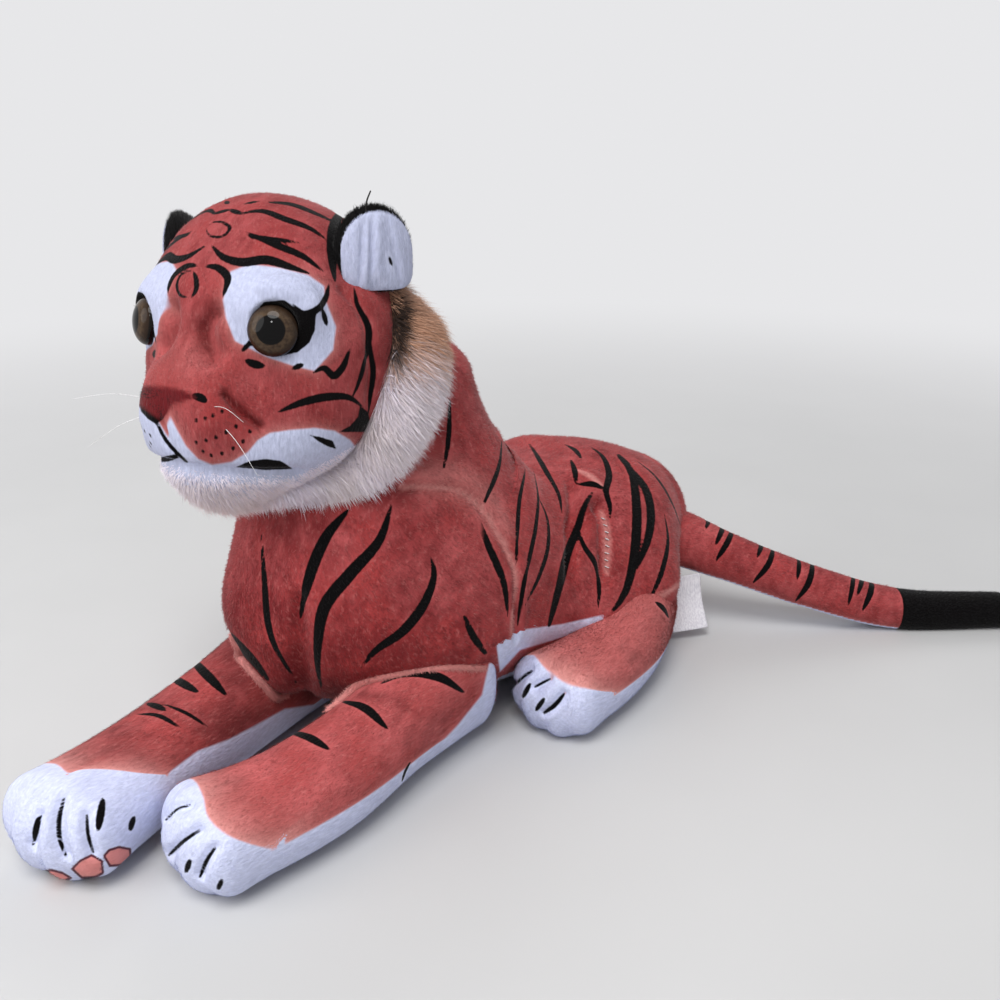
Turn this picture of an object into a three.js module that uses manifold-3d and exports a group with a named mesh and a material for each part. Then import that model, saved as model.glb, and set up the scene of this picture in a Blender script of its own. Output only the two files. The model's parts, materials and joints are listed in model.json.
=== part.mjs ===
// Stuffed toy tiger that lies on its belly with its head raised and turned a little to its left.
// Millimetres, +Z up, nose towards -Y, the toy's left side towards +X.
// The origin is the middle of the belly, on the surface that the toy lies on.
import * as THREE from 'three';
import { mergeVertices } from 'three/addons/utils/BufferGeometryUtils.js';
import Module from 'manifold-3d';

const wasm = await Module();
wasm.setup();

// Driving dimensions
const bodyLength = 140;
const bodyHalfWidth = 46;
const bodyHalfHeight = 48;
const neckHeight = 120;
const headHalfWidth = 44;
const forelegLength = 120;
const hindlegLength = 76;
const legHalfWidth = 18;
const tailLength = 165;
const tailRadius = 11;
const earHalfWidth = 12;
const eyeRadius = 7.5;
const labelWidth = 17;
const labelLength = 24;
const whiskerLength = 26;

// Cloth, seams and clearances
const clothThickness = 1.6;
const pieceGap = 0.3;
const ballGap = 1;
const floorFlat = 0.5;
const seamSkirt = 0.4;
const mergeTolerance = 0.0003;
const labelThickness = 0.6;
const whiskerRadius = 0.3;
const whiskerRoot = 3;
const washerThickness = 1.2;
const eyeStemRadius = 1.6;
const eyeStemLength = 9;
const eyeDomeHeight = 4.6;
const eyeRimHeight = 0.9;

// Counts of facets
const trunkAround = 18;
const trunkAlong = 13;
const limbAround = 10;
const limbAlong = 7;
const tailAlong = 10;
const capRings = 2;
const eggAround = 16;
const eggRings = 11;
const smallEggAround = 12;
const smallEggRings = 7;
const turnedAround = 16;
const domeSteps = 5;
const whiskerSides = 5;
const whiskerSteps = 4;

// Joint limits in degrees, which the clearances are worked out from
const headNodAngle = 8;
const legSplayAngle = 14;
const earFoldAngle = 15;
const tailSwayAngles = [-4, 3, 10, 17, 24, 30];
const spareAngle = 1;

// A superellipse a little squarer than a circle, as a firmly stuffed tube is
const squarenessShare = 2.2;

const leftward = new THREE.Vector3(1, 0, 0);
const upward = new THREE.Vector3(0, 0, 1);
const degrees = Math.PI / 180;

// Solids and booleans

function solidOf(geometry) {
  const bare = geometry.clone();
  bare.deleteAttribute('normal');
  bare.deleteAttribute('uv');
  const merged = mergeVertices(bare, mergeTolerance);
  return new wasm.Manifold(new wasm.Mesh({
    numProp: 3,
    vertProperties: new Float32Array(merged.attributes.position.array),
    triVerts: new Uint32Array(merged.index.array),
  }));
}

function geometryOf(solid) {
  const mesh = solid.getMesh();
  const geometry = new THREE.BufferGeometry();
  geometry.setAttribute('position', new THREE.BufferAttribute(mesh.vertProperties, 3));
  geometry.setIndex(new THREE.BufferAttribute(mesh.triVerts, 1));
  return geometry;
}

function moved(solid, matrix) {
  return solid.transform(matrix.elements);
}

function turnedAbout(solid, point, axis, angle) {
  const there = new THREE.Matrix4().makeTranslation(point.x, point.y, point.z);
  const turn = new THREE.Matrix4().makeRotationAxis(axis, angle * degrees);
  const back = new THREE.Matrix4().makeTranslation(-point.x, -point.y, -point.z);
  return moved(solid, there.multiply(turn).multiply(back));
}

function mirrored(solid) {
  return moved(solid, new THREE.Matrix4().makeScale(-1, 1, 1));
}

function joined(solids) {
  return solids.reduce((whole, solid) => whole.add(solid));
}

function without(solid, cutters) {
  return cutters.reduce((rest, cutter) => rest.subtract(cutter), solid);
}

// A block whose top face lies on the plane through point, square to normal
const overrun = bodyLength * 3;

function blockBelow(point, normal) {
  const box = new THREE.BoxGeometry(overrun * 2, overrun * 2, overrun);
  box.translate(0, 0, -overrun / 2);
  box.applyQuaternion(new THREE.Quaternion().setFromUnitVectors(upward, normal));
  box.translate(point.x, point.y, point.z);
  return solidOf(box);
}

const belowFloor = blockBelow(new THREE.Vector3(), upward);

function standing(solid) {
  return solid.subtract(belowFloor);
}

// Station rows, one closed section each, scaled from shares to millimetres
function scaledRows(shares, scale) {
  return shares.map((row) => row.map((share, column) => share * scale[column]));
}

// Smooth rows between the stations, by a cubic through each with chord-spaced tangents
function smoothRows(rows, count) {
  const length = [0];
  for (let i = 1; i < rows.length; i += 1) {
    const chord = Math.hypot(...[0, 1, 2].map((c) => rows[i][c] - rows[i - 1][c]));
    length.push(length[i - 1] + chord);
  }
  const last = rows.length - 1;
  const slope = rows.map((row, i) => row.map((value, c) => {
    if (i === 0) return (rows[1][c] - value) / length[1];
    const before = (value - rows[i - 1][c]) / (length[i] - length[i - 1]);
    if (i === last) return before;
    const after = (rows[i + 1][c] - value) / (length[i + 1] - length[i]);
    const step = length[i + 1] - length[i - 1];
    return (before * (length[i + 1] - length[i]) + after * (length[i] - length[i - 1])) / step;
  }));
  const smooth = [];
  for (let n = 0; n < count; n += 1) {
    const at = length[last] * n / (count - 1);
    let i = 0;
    while (i < last - 1 && length[i + 1] < at) i += 1;
    const span = length[i + 1] - length[i];
    const x = (at - length[i]) / span;
    const start = 2 * x ** 3 - 3 * x ** 2 + 1;
    const startSlope = (x ** 3 - 2 * x ** 2 + x) * span;
    const endSlope = (x ** 3 - x ** 2) * span;
    smooth.push(rows[i].map((value, c) => start * value + startSlope * slope[i][c]
      + (1 - start) * rows[i + 1][c] + endSlope * slope[i + 1][c]));
  }
  return smooth;
}

// A stuffed tube with domed ends. Row: centre x, y, z, half width, height up, height down.
// inset draws the surface in by that much all round.
function stuffedForm({ rows, side, capStart, capEnd, around, along, inset }) {
  const smooth = smoothRows(rows, along);
  const centres = smooth.map((row) => new THREE.Vector3(row[0], row[1], row[2]));
  const positions = [];
  const flatTop = Math.cos(Math.PI / around) ** (2 / squarenessShare);
  const addRing = (index, offset, share) => {
    const before = centres[Math.max(index - 1, 0)];
    const after = centres[Math.min(index + 1, along - 1)];
    const ahead = after.clone().sub(before).normalize();
    const across = side.clone().addScaledVector(ahead, -side.dot(ahead)).normalize();
    const over = ahead.clone().cross(across);
    const [half, up, down] = smooth[index].slice(3).map((size) => size - inset);
    for (let k = 0; k < around; k += 1) {
      const angle = 2 * Math.PI * (k + 0.5) / around;
      const c = Math.cos(angle);
      const s = Math.sin(angle);
      const x = Math.sign(c) * Math.abs(c) ** (2 / squarenessShare) * half * share;
      const height = (s > 0 ? up : down) / flatTop;
      const z = Math.sign(s) * Math.abs(s) ** (2 / squarenessShare) * height * share;
      const point = centres[index].clone();
      point.addScaledVector(ahead, offset).addScaledVector(across, x).addScaledVector(over, z);
      positions.push(point.x, point.y, point.z);
    }
  };
  const addPole = (index, offset) => {
    const before = centres[Math.max(index - 1, 0)];
    const after = centres[Math.min(index + 1, along - 1)];
    const ahead = after.clone().sub(before).normalize();
    const point = centres[index].clone().addScaledVector(ahead, offset);
    positions.push(point.x, point.y, point.z);
  };
  for (let q = capRings; q > 0; q -= 1) {
    const lean = Math.PI / 2 * q / (capRings + 1);
    addRing(0, -(capStart - inset) * Math.sin(lean), Math.cos(lean));
  }
  for (let i = 0; i < along; i += 1) addRing(i, 0, 1);
  for (let q = 1; q <= capRings; q += 1) {
    const lean = Math.PI / 2 * q / (capRings + 1);
    addRing(along - 1, (capEnd - inset) * Math.sin(lean), Math.cos(lean));
  }
  const rings = along + 2 * capRings;
  addPole(0, -(capStart - inset));
  addPole(along - 1, capEnd - inset);
  const index = [];
  for (let r = 0; r < rings - 1; r += 1) {
    for (let k = 0; k < around; k += 1) {
      const a = r * around + k;
      const b = r * around + (k + 1) % around;
      index.push(a, a + around, b, b, a + around, b + around);
    }
  }
  const startPole = rings * around;
  for (let k = 0; k < around; k += 1) {
    const next = (k + 1) % around;
    const lastRing = (rings - 1) * around;
    index.push(startPole, k, next);
    index.push(startPole + 1, lastRing + next, lastRing + k);
  }
  const geometry = new THREE.BufferGeometry();
  geometry.setAttribute('position', new THREE.Float32BufferAttribute(positions, 3));
  geometry.setIndex(index);
  const solid = solidOf(geometry);
  return solid.volume() > 0 ? solid : solidOf(flipped(geometry));
}

function flipped(geometry) {
  const turned = geometry.clone();
  const index = Array.from(turned.index.array);
  for (let i = 0; i < index.length; i += 3) [index[i], index[i + 1]] = [index[i + 1], index[i]];
  turned.setIndex(index);
  return turned;
}

// An egg whose six half axes differ: half width, forward, back, up and down
function egg({ centre, half, front, back, up, down }, inset, around, rings) {
  const sphere = new THREE.SphereGeometry(1, around, rings);
  sphere.rotateX(Math.PI / 2);
  const place = sphere.attributes.position;
  for (let i = 0; i < place.count; i += 1) {
    const x = place.getX(i) * (half - inset);
    const y = place.getY(i) * (place.getY(i) < 0 ? front - inset : back - inset);
    const z = place.getZ(i) * (place.getZ(i) < 0 ? down - inset : up - inset);
    place.setXYZ(i, x + centre[0], y + centre[1], z + centre[2]);
  }
  return solidOf(sphere);
}

// A profile of [radius, height] points turned about the Z axis
function turned(profile, around) {
  const points = profile.map(([radius, height]) => new THREE.Vector2(radius, height));
  const lathe = new THREE.LatheGeometry(points, around);
  lathe.rotateX(Math.PI / 2);
  const solid = solidOf(lathe);
  return solid.volume() > 0 ? solid : solidOf(flipped(lathe));
}

function placement(point, axis) {
  const turn = new THREE.Quaternion().setFromUnitVectors(upward, axis.clone().normalize());
  return new THREE.Matrix4().compose(point, turn, new THREE.Vector3(1, 1, 1));
}

// Trunk, one stuffed form from rump to neck. Shares: across of bodyHalfWidth, along of bodyLength,
// height of neckHeight, half width of bodyHalfWidth, and up and down of bodyHalfHeight
const trunkShares = [
  [0.08, 0.49, 0.335, 0.74, 0.7, 0.8],
  [0.06, 0.31, 0.36, 1, 0.84, 0.912],
  [0.04, 0.06, 0.355, 1, 0.9, 0.9],
  [0, -0.16, 0.38, 0.96, 0.96, 0.95],
  [-0.04, -0.33, 0.475, 0.99, 1.05, 1.25],
  [-0.09, -0.45, 0.62, 0.98, 1.06, 1.36],
  [-0.13, -0.5, 0.82, 0.91, 1, 1.06],
  [-0.17, -0.51, 1.07, 0.79, 0.74, 0.9],
];
const trunkScale = [bodyHalfWidth, bodyLength, neckHeight, bodyHalfWidth, bodyHalfHeight, bodyHalfHeight];
const trunkCap = bodyHalfHeight * 0.42;

function trunkForm(inset) {
  const rows = scaledRows(trunkShares, trunkScale);
  return stuffedForm({
    rows,
    side: leftward,
    capStart: trunkCap,
    capEnd: trunkCap,
    around: trunkAround,
    along: trunkAlong,
    inset,
  });
}

// Neck: a ball of stuffing on which the head turns and nods, and the slanting seam above the body
const neckLeanAngle = 25;
const neckAxis = new THREE.Vector3(0, -Math.sin(neckLeanAngle * degrees), Math.cos(neckLeanAngle * degrees));
const neckPoint = new THREE.Vector3(-0.13 * bodyHalfWidth, -0.55 * bodyLength, neckHeight);
const neckBallRadius = bodyHalfWidth * 0.64;
const neckRadius = bodyHalfWidth * 1.17;
const neckNarrowShare = 0.87;

function neckBall(growth) {
  const size = neckBallRadius + growth;
  const centre = neckPoint.toArray();
  return egg({ centre, half: size, front: size, back: size, up: size, down: size }, 0, eggAround, eggRings);
}

const neckSeam = neckPoint.clone().addScaledVector(neckAxis, -seamSkirt);
const aboveNeckSeam = blockBelow(neckSeam, neckAxis.clone().negate());

// The room that the neck's rim sweeps while the head nods either way
function neckSweep() {
  const rise = Math.tan((headNodAngle + spareAngle) * degrees);
  const depth = neckHeight / 2;
  const profile = [
    [0, -depth],
    [neckRadius + depth * rise, -depth],
    [neckRadius + pieceGap, neckRadius * rise],
    [0, 0],
  ];
  const narrow = new THREE.Matrix4().makeScale(neckNarrowShare, 1, 1);
  return moved(turned(profile, turnedAround), placement(neckPoint, neckAxis).multiply(narrow));
}

// Legs. Shares: across of bodyHalfWidth, along of the leg's length, then of legHalfWidth the lift of the
// underside, the half width, and the heights up and down
const forelegLeftShares = [
  [0.62, 0, 0, 1, 1.05, 1.72],
  [0.72, -0.2, 0, 0.98, 0.95, 1.4],
  [0.76, -0.42, 0, 0.95, 0.9, 1.12],
  [0.74, -0.65, 0, 1, 0.83, 0.93],
  [0.66, -0.85, 0, 1.1, 0.82, 0.88],
];
const forelegRightShares = [
  [-0.68, 0, 0, 1, 1.1, 1.86],
  [-0.6, -0.28, 0, 0.98, 1, 1.45],
  [-0.46, -0.56, 0, 0.97, 0.92, 1.12],
  [-0.3, -0.84, 0, 1.06, 0.85, 0.95],
  [-0.16, -1.07, 0, 1.18, 0.86, 0.92],
];
const hindlegShares = [
  [0.82, 0.2, 0, 0.95, 1.2, 1.42],
  [1.02, -0.04, 0, 0.95, 1, 1.17],
  [1.17, -0.36, 0, 0.94, 0.86, 0.94],
  [1.18, -0.74, 0, 1.02, 0.82, 0.87],
];
const pawCap = legHalfWidth * 0.72;
const rootCap = legHalfWidth * 0.8;
const shoulderAlong = -0.49 * bodyLength;
const hipAlong = 0.14 * bodyLength;

// Rows moved along to their root, with each centre raised from its underside's lift
function onFloor(rows, rootAlong) {
  return rows.map(([across, along, lift, half, up, down]) => [
    across, along + rootAlong, lift + down - floorFlat, half, up, down,
  ]);
}

function legForm(shares, rootAlong, length, inset) {
  const scale = [bodyHalfWidth, length, legHalfWidth, legHalfWidth, legHalfWidth, legHalfWidth];
  const rows = onFloor(scaledRows(shares, scale), rootAlong);
  return stuffedForm({
    rows,
    side: leftward,
    capStart: rootCap,
    capEnd: pawCap,
    around: limbAround,
    along: limbAlong,
    inset,
  });
}

// Tail, swung to the toy's left. Shares: across and along of tailLength, the rest of tailRadius as on a leg
const tailShares = [
  [0.1, 0, 2.6, 1.35, 1.3, 1.4],
  [0.19, 0.08, 2.4, 1.18, 1.1, 1.2],
  [0.31, 0.14, 2, 1, 0.92, 1],
  [0.49, 0.26, 1.02, 0.88, 0.84, 0.88],
  [0.69, 0.43, 0, 0.78, 0.76, 0.88],
  [0.89, 0.62, 0, 0.7, 0.7, 0.71],
];
const tailRootAlong = 0.42 * bodyLength;
const tailCap = tailRadius * 0.8;
const stripShare = 0.55;
const stripRiseShare = 0.2;
const tailScale = [tailLength, tailLength, tailRadius, tailRadius, tailRadius, tailRadius];
const tailRows = onFloor(scaledRows(tailShares, tailScale), tailRootAlong);
const [seamRow, endRow] = tailRows.slice(-2);
const tailSeatShare = 0.6;
const [rootRow, nextRow] = tailRows;
const tailRoot = new THREE.Vector3(rootRow[0], rootRow[1], 0).lerp(
  new THREE.Vector3(nextRow[0], nextRow[1], 0), tailSeatShare);
const tailSeam = new THREE.Vector3(seamRow[0], seamRow[1], seamRow[2]);
const tailRun = new THREE.Vector3(endRow[0] - seamRow[0], endRow[1] - seamRow[1], 0).normalize();

function tailForm(inset) {
  return stuffedForm({
    rows: tailRows,
    side: tailRun.clone().cross(upward).negate(),
    capStart: tailCap,
    capEnd: tailCap,
    around: limbAround,
    along: tailAlong,
    inset,
  });
}

// Head, made in its own frame: nose towards -Y, then turned and set on the neck
const headPlace = new THREE.Matrix4().compose(
  new THREE.Vector3(-0.25 * headHalfWidth, -0.75 * bodyLength, 1.24 * neckHeight),
  new THREE.Quaternion().setFromEuler(new THREE.Euler(-3 * degrees, -2 * degrees, 12 * degrees, 'ZXY')),
  new THREE.Vector3(1, 1, 1));

function inHead(shares) {
  return shares.map((share) => share * headHalfWidth);
}

function headEgg({ centre, sizes }, inset, around, rings) {
  const [half, front, back, up, down] = inHead(sizes);
  return egg({ centre: inHead(centre), half, front, back, up, down }, inset, around, rings);
}

// The forms that the head is stuffed to, with sizes half, front, back, up and down, of headHalfWidth
const headShares = {
  cranium: { centre: [0, -0.06, 0], sizes: [1, 0.74, 1, 1.03, 1] },
  nape: { centre: [0, 0.62, -0.4], sizes: [0.8, 0.5, 0.78, 0.78, 0.75] },
  jaw: { centre: [0, -0.45, -0.58], sizes: [0.74, 0.56, 0.5, 0.5, 0.45] },
  bridge: { centre: [0, -0.58, 0.02], sizes: [0.42, 0.33, 0.3, 0.45, 0.5] },
  muzzle: { centre: [0, -0.8, -0.34], sizes: [0.4, 0.42, 0.55, 0.4, 0.44] },
  collar: { centre: [0, 0.02, -0.2], sizes: [1.26, 0.8, 1.2, 0.95, 1.06] },
};

function smallHeadEgg(shares, inset) {
  return headEgg(shares, inset, smallEggAround, smallEggRings);
}

function backOfHead(inset) {
  const cranium = headEgg(headShares.cranium, inset, eggAround, eggRings);
  return joined([cranium, smallHeadEgg(headShares.jaw, inset), smallHeadEgg(headShares.nape, inset)]);
}

function headForm(inset) {
  const bridge = smallHeadEgg(headShares.bridge, inset);
  const muzzle = smallHeadEgg(headShares.muzzle, inset);
  return joined([backOfHead(inset), bridge, muzzle]);
}

// Eyes: a domed front with a stem, and the washer that locks it behind the cloth
const eyeShares = [0.545, -0.62, 0.14];
const eyeLookShares = [0.5, -0.86, 0.08];
const eyeSink = 2.2;
const washerShare = 0.85;

function eyeProfile(growth) {
  const profile = [
    [0, -eyeStemLength - growth],
    [eyeStemRadius + growth, -eyeStemLength - growth],
    [eyeStemRadius + growth, -growth],
    [eyeRadius + growth, -growth],
    [eyeRadius + growth, eyeRimHeight + growth],
  ];
  for (let i = 1; i <= domeSteps; i += 1) {
    const lean = Math.PI / 2 * i / domeSteps;
    const radius = i === domeSteps ? 0 : (eyeRadius + growth) * Math.cos(lean);
    profile.push([radius, eyeRimHeight + growth + eyeDomeHeight * Math.sin(lean)]);
  }
  return profile;
}

function washerProfile(growth) {
  const top = -clothThickness - pieceGap;
  const inner = eyeStemRadius + pieceGap - growth;
  const outer = eyeRadius * washerShare + growth;
  return [
    [inner, top + growth],
    [inner, top - washerThickness - growth],
    [outer, top - washerThickness - growth],
    [outer, top + growth],
    [inner, top + growth],
  ];
}

function eyePlace(sign) {
  const [x, y, z] = inHead(eyeShares);
  const look = new THREE.Vector3(sign * eyeLookShares[0], eyeLookShares[1], eyeLookShares[2]).normalize();
  const seat = new THREE.Vector3(sign * x, y, z).addScaledVector(look, -eyeSink);
  return placement(seat, look);
}

// Ears, flattened eggs that stand off the crown and face outward
const earCentreShares = [0.9, 0.03, 0.66];
const earFacingAngle = 50;
const earSizeShares = { front: 0.42, back: 0.42, up: 1.05, down: 1.1 };
const earBowlShares = { ahead: 0.95, half: 1.05, front: 1, back: 0.9, up: 1.1, down: 1.1 };
const earRim = 1.5;
const nestReachShare = 7;
const earHingeShare = 0.6;

function earPlace(sign) {
  const [x, y, z] = inHead(earCentreShares);
  const turn = new THREE.Quaternion().setFromAxisAngle(upward, sign * earFacingAngle * degrees);
  return new THREE.Matrix4().compose(new THREE.Vector3(sign * x, y, z), turn, new THREE.Vector3(1, 1, 1));
}

function earForm(inset, frontReach = 1) {
  return egg({
    centre: [0, 0, 0],
    half: earHalfWidth,
    front: earHalfWidth * earSizeShares.front * frontReach,
    back: earHalfWidth * earSizeShares.back,
    up: earHalfWidth * earSizeShares.up,
    down: earHalfWidth * earSizeShares.down,
  }, inset, smallEggAround, smallEggRings);
}

function earBowl() {
  return egg({
    centre: [0, -earHalfWidth * earBowlShares.ahead, 0],
    half: earHalfWidth * earBowlShares.half,
    front: earHalfWidth * earBowlShares.front,
    back: earHalfWidth * earBowlShares.back,
    up: earHalfWidth * earBowlShares.up,
    down: earHalfWidth * earBowlShares.down,
  }, 0, smallEggAround, smallEggRings);
}

// The pale lining is a shallow bowl laid in the dark back, which is open in front of it
function earPieces() {
  const frontward = new THREE.Vector3(0, 1, 0);
  const frontHalf = blockBelow(new THREE.Vector3(), frontward);
  const frontRoom = blockBelow(new THREE.Vector3(0, pieceGap, 0), frontward);
  const lining = earForm(earRim).intersect(frontHalf).subtract(earBowl());
  const nest = earForm(earRim - pieceGap, nestReachShare).intersect(frontRoom);
  return { back: earForm(0).subtract(nest), lining };
}

// Whiskers: tapering filaments whose roots are held in the stuffing
const whiskerShares = {
  upper: { at: [0.31, -1, -0.3], lean: [0.75, -0.35, 0.1] },
  lower: { at: [0.33, -0.96, -0.42], lean: [0.78, -0.3, -0.3] },
};

function whisker(sign, { at, lean }, growth) {
  const [x, y, z] = inHead(at);
  const ahead = new THREE.Vector3(sign * lean[0], lean[1], lean[2]).normalize();
  const start = new THREE.Vector3(sign * x, y, z).addScaledVector(ahead, -whiskerRoot - growth);
  const bend = start.clone().addScaledVector(ahead, whiskerLength / 2);
  const end = start.clone().addScaledVector(ahead, whiskerLength);
  end.z -= whiskerLength / 8;
  const room = growth > 0;
  const curve = room
    ? new THREE.LineCurve3(start, bend)
    : new THREE.QuadraticBezierCurve3(start, bend, end);
  const section = new THREE.Shape();
  for (let k = 0; k < whiskerSides; k += 1) {
    const angle = 2 * Math.PI * k / whiskerSides;
    const radius = whiskerRadius + growth;
    const point = [radius * Math.cos(angle), radius * Math.sin(angle)];
    if (k === 0) section.moveTo(...point);
    else section.lineTo(...point);
  }
  const tube = new THREE.ExtrudeGeometry(section, { steps: room ? 1 : whiskerSteps, extrudePath: curve });
  const solid = solidOf(tube);
  return solid.volume() > 0 ? solid : solidOf(flipped(tube));
}

// Long-pile collar: a band round the head from ear to ear under the jaw
const collarThickness = 6;
const collarFrontShares = { point: [0, 0.14, 0.55], normal: [0, 0.93, -0.37] };
const collarTopShare = 0.34;
const collarBackShares = { point: [0, 0.85, -0.1], normal: [0, 0.82, -0.56] };

function collarForm() {
  const ring = headEgg(headShares.collar, 0, eggAround, eggRings);
  const outer = ring.add(smallHeadEgg(headShares.jaw, -collarThickness));
  const inner = backOfHead(-pieceGap);
  const planes = [collarFrontShares, collarBackShares].map(({ point, normal }) => blockBelow(
    new THREE.Vector3(...inHead(point)), new THREE.Vector3(...normal).normalize()));
  const top = blockBelow(new THREE.Vector3(0, 0, collarTopShare * headHalfWidth), upward);
  return outer.subtract(inner).subtract(planes[0]).intersect(planes[1]).intersect(top);
}

// Colours
const colours = {
  orange: 0xb4523f, pale: 0xd9d3da, cream: 0xd8ccb8, black: 0x1b1717, stuffing: 0xf2efe8, eye: 0x4a3420,
  washer: 0xeeeeee, filament: 0xe8e8e8, satin: 0xf4f4f6,
};

function material(colour, roughness) {
  return new THREE.MeshStandardMaterial({ color: colour, roughness, metalness: 0 });
}

const model = new THREE.Group();

function addPiece(name, solid, colour, roughness = 0.9) {
  const mesh = new THREE.Mesh(geometryOf(solid), material(colour, roughness));
  mesh.name = name;
  model.add(mesh);
}

// Body: cover, belly cloth and stuffing
const fillingInset = clothThickness + pieceGap;
const bellySeamHeight = 0.3 * bodyHalfHeight;

function addBody() {
  const neckRoom = [aboveNeckSeam, neckBall(ballGap)];
  const cover = trunkForm(0).subtract(trunkForm(clothThickness));
  const shell = standing(without(cover, neckRoom));
  const bellyTop = new THREE.Vector3(0, 0, bellySeamHeight);
  const bellyBlock = blockBelow(bellyTop, upward);
  const bellyRoom = blockBelow(bellyTop.clone().addScaledVector(upward, pieceGap), upward);
  const filling = without(trunkForm(fillingInset), neckRoom);
  addPiece('torso_skin', shell.subtract(bellyRoom), colours.orange);
  addPiece('belly_panel', shell.intersect(bellyBlock), colours.pale);
  addPiece('torso_filling', filling.subtract(
    blockBelow(new THREE.Vector3(0, 0, fillingInset), upward)), colours.stuffing);
  addPiece('neck_filling', neckBall(0), colours.stuffing);
}

// A leg's cover, pale underside and stuffing, cut by the body for every splay of the leg
function addLeg(name, form, root, splays, seam) {
  const body = splays.map((angle) => turnedAbout(trunkForm(-pieceGap), root, upward, -angle));
  const cover = standing(without(form(0).subtract(form(clothThickness)), body));
  const under = blockBelow(seam.point, seam.normal);
  const underRoom = blockBelow(seam.point.clone().addScaledVector(seam.normal, pieceGap), seam.normal);
  const stuffing = without(form(fillingInset), body).subtract(
    blockBelow(new THREE.Vector3(0, 0, fillingInset), upward));
  addPiece(`${name}_skin`, cover.subtract(underRoom), colours.orange);
  addPiece(`${name}_lining`, cover.intersect(under), colours.pale);
  addPiece(`${name}_filling`, stuffing, colours.stuffing);
}

function addLegs() {
  const linings = { height: 0.6 * legHalfWidth, leanShare: 0.3 };
  const seamFor = (sign, across) => ({
    point: new THREE.Vector3(across, 0, linings.height),
    normal: new THREE.Vector3(sign * linings.leanShare, 0, 1).normalize(),
  });
  const leftRoot = new THREE.Vector3(0.6 * bodyHalfWidth, shoulderAlong, 0);
  const rightRoot = new THREE.Vector3(-0.6 * bodyHalfWidth, shoulderAlong, 0);
  const hipRoot = new THREE.Vector3(bodyHalfWidth * 0.9, hipAlong + 0.2 * hindlegLength, 0);
  addLeg('foreleg_left', (inset) => legForm(forelegLeftShares, shoulderAlong, forelegLength, inset),
    leftRoot, [0, legSplayAngle], seamFor(-1, 0.7 * bodyHalfWidth));
  addLeg('foreleg_right', (inset) => legForm(forelegRightShares, shoulderAlong, forelegLength, inset),
    rightRoot, [0, -legSplayAngle], seamFor(1, -0.35 * bodyHalfWidth));
  addLeg('hindleg_left', (inset) => legForm(hindlegShares, hipAlong, hindlegLength, inset),
    hipRoot, [0, legSplayAngle], seamFor(-1, 1.2 * bodyHalfWidth));
  addLeg('hindleg_right', (inset) => mirrored(legForm(hindlegShares, hipAlong, hindlegLength, inset)),
    hipRoot.clone().setX(-hipRoot.x), [0, -legSplayAngle], seamFor(1, -1.2 * bodyHalfWidth));
}

// Tail: sleeve, pale strip below, stuffing, and the black tip beyond its own seam
function addTail() {
  const body = tailSwayAngles.map(
    (angle) => turnedAbout(trunkForm(-pieceGap), tailRoot, upward, -angle));
  const shell = standing(without(tailForm(0).subtract(tailForm(clothThickness)), body));
  const stuffing = standing(without(tailForm(fillingInset), body));
  const atSeam = blockBelow(tailSeam, tailRun);
  const pastSeam = blockBelow(tailSeam.clone().addScaledVector(tailRun, pieceGap), tailRun);
  const sleeve = shell.intersect(atSeam);
  const stripAt = tailRows.slice(1, -1).map(([across, along, high, , , down]) => new THREE.Vector3(
    across, along, high - down * stripShare));
  const strips = stripBlocks(stripAt, 0);
  const stripRooms = stripBlocks(stripAt, pieceGap);
  addPiece('tail_sleeve', sleeve.subtract(stripRooms), colours.orange);
  addPiece('tail_underside', sleeve.intersect(strips), colours.pale);
  addPiece('tail_filling', stuffing.intersect(atSeam), colours.stuffing);
  addPiece('tail_tip_skin', shell.subtract(pastSeam), colours.black);
  addPiece('tail_tip_filling', stuffing.subtract(pastSeam), colours.stuffing);
}

// One block whose top follows the tail's slope between the given points
function stripBlocks(points, growth) {
  const half = tailLength;
  const shape = new THREE.Shape();
  const run = (point) => point.clone().sub(points[0]).dot(tailRun);
  const ends = [-half, run(points[points.length - 1]) + half];
  shape.moveTo(ends[0], -half);
  shape.lineTo(ends[0], points[0].z + growth + half * stripRiseShare);
  points.forEach((point) => shape.lineTo(run(point), point.z + growth));
  shape.lineTo(ends[1], points[points.length - 1].z + growth);
  shape.lineTo(ends[1], -half);
  const slab = new THREE.ExtrudeGeometry(shape, { depth: half * 2, bevelEnabled: false });
  slab.translate(0, 0, -half);
  const basis = new THREE.Matrix4().makeBasis(tailRun, upward, tailRun.clone().cross(upward));
  slab.applyMatrix4(basis);
  slab.translate(points[0].x, points[0].y, 0);
  return solidOf(slab);
}

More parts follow.
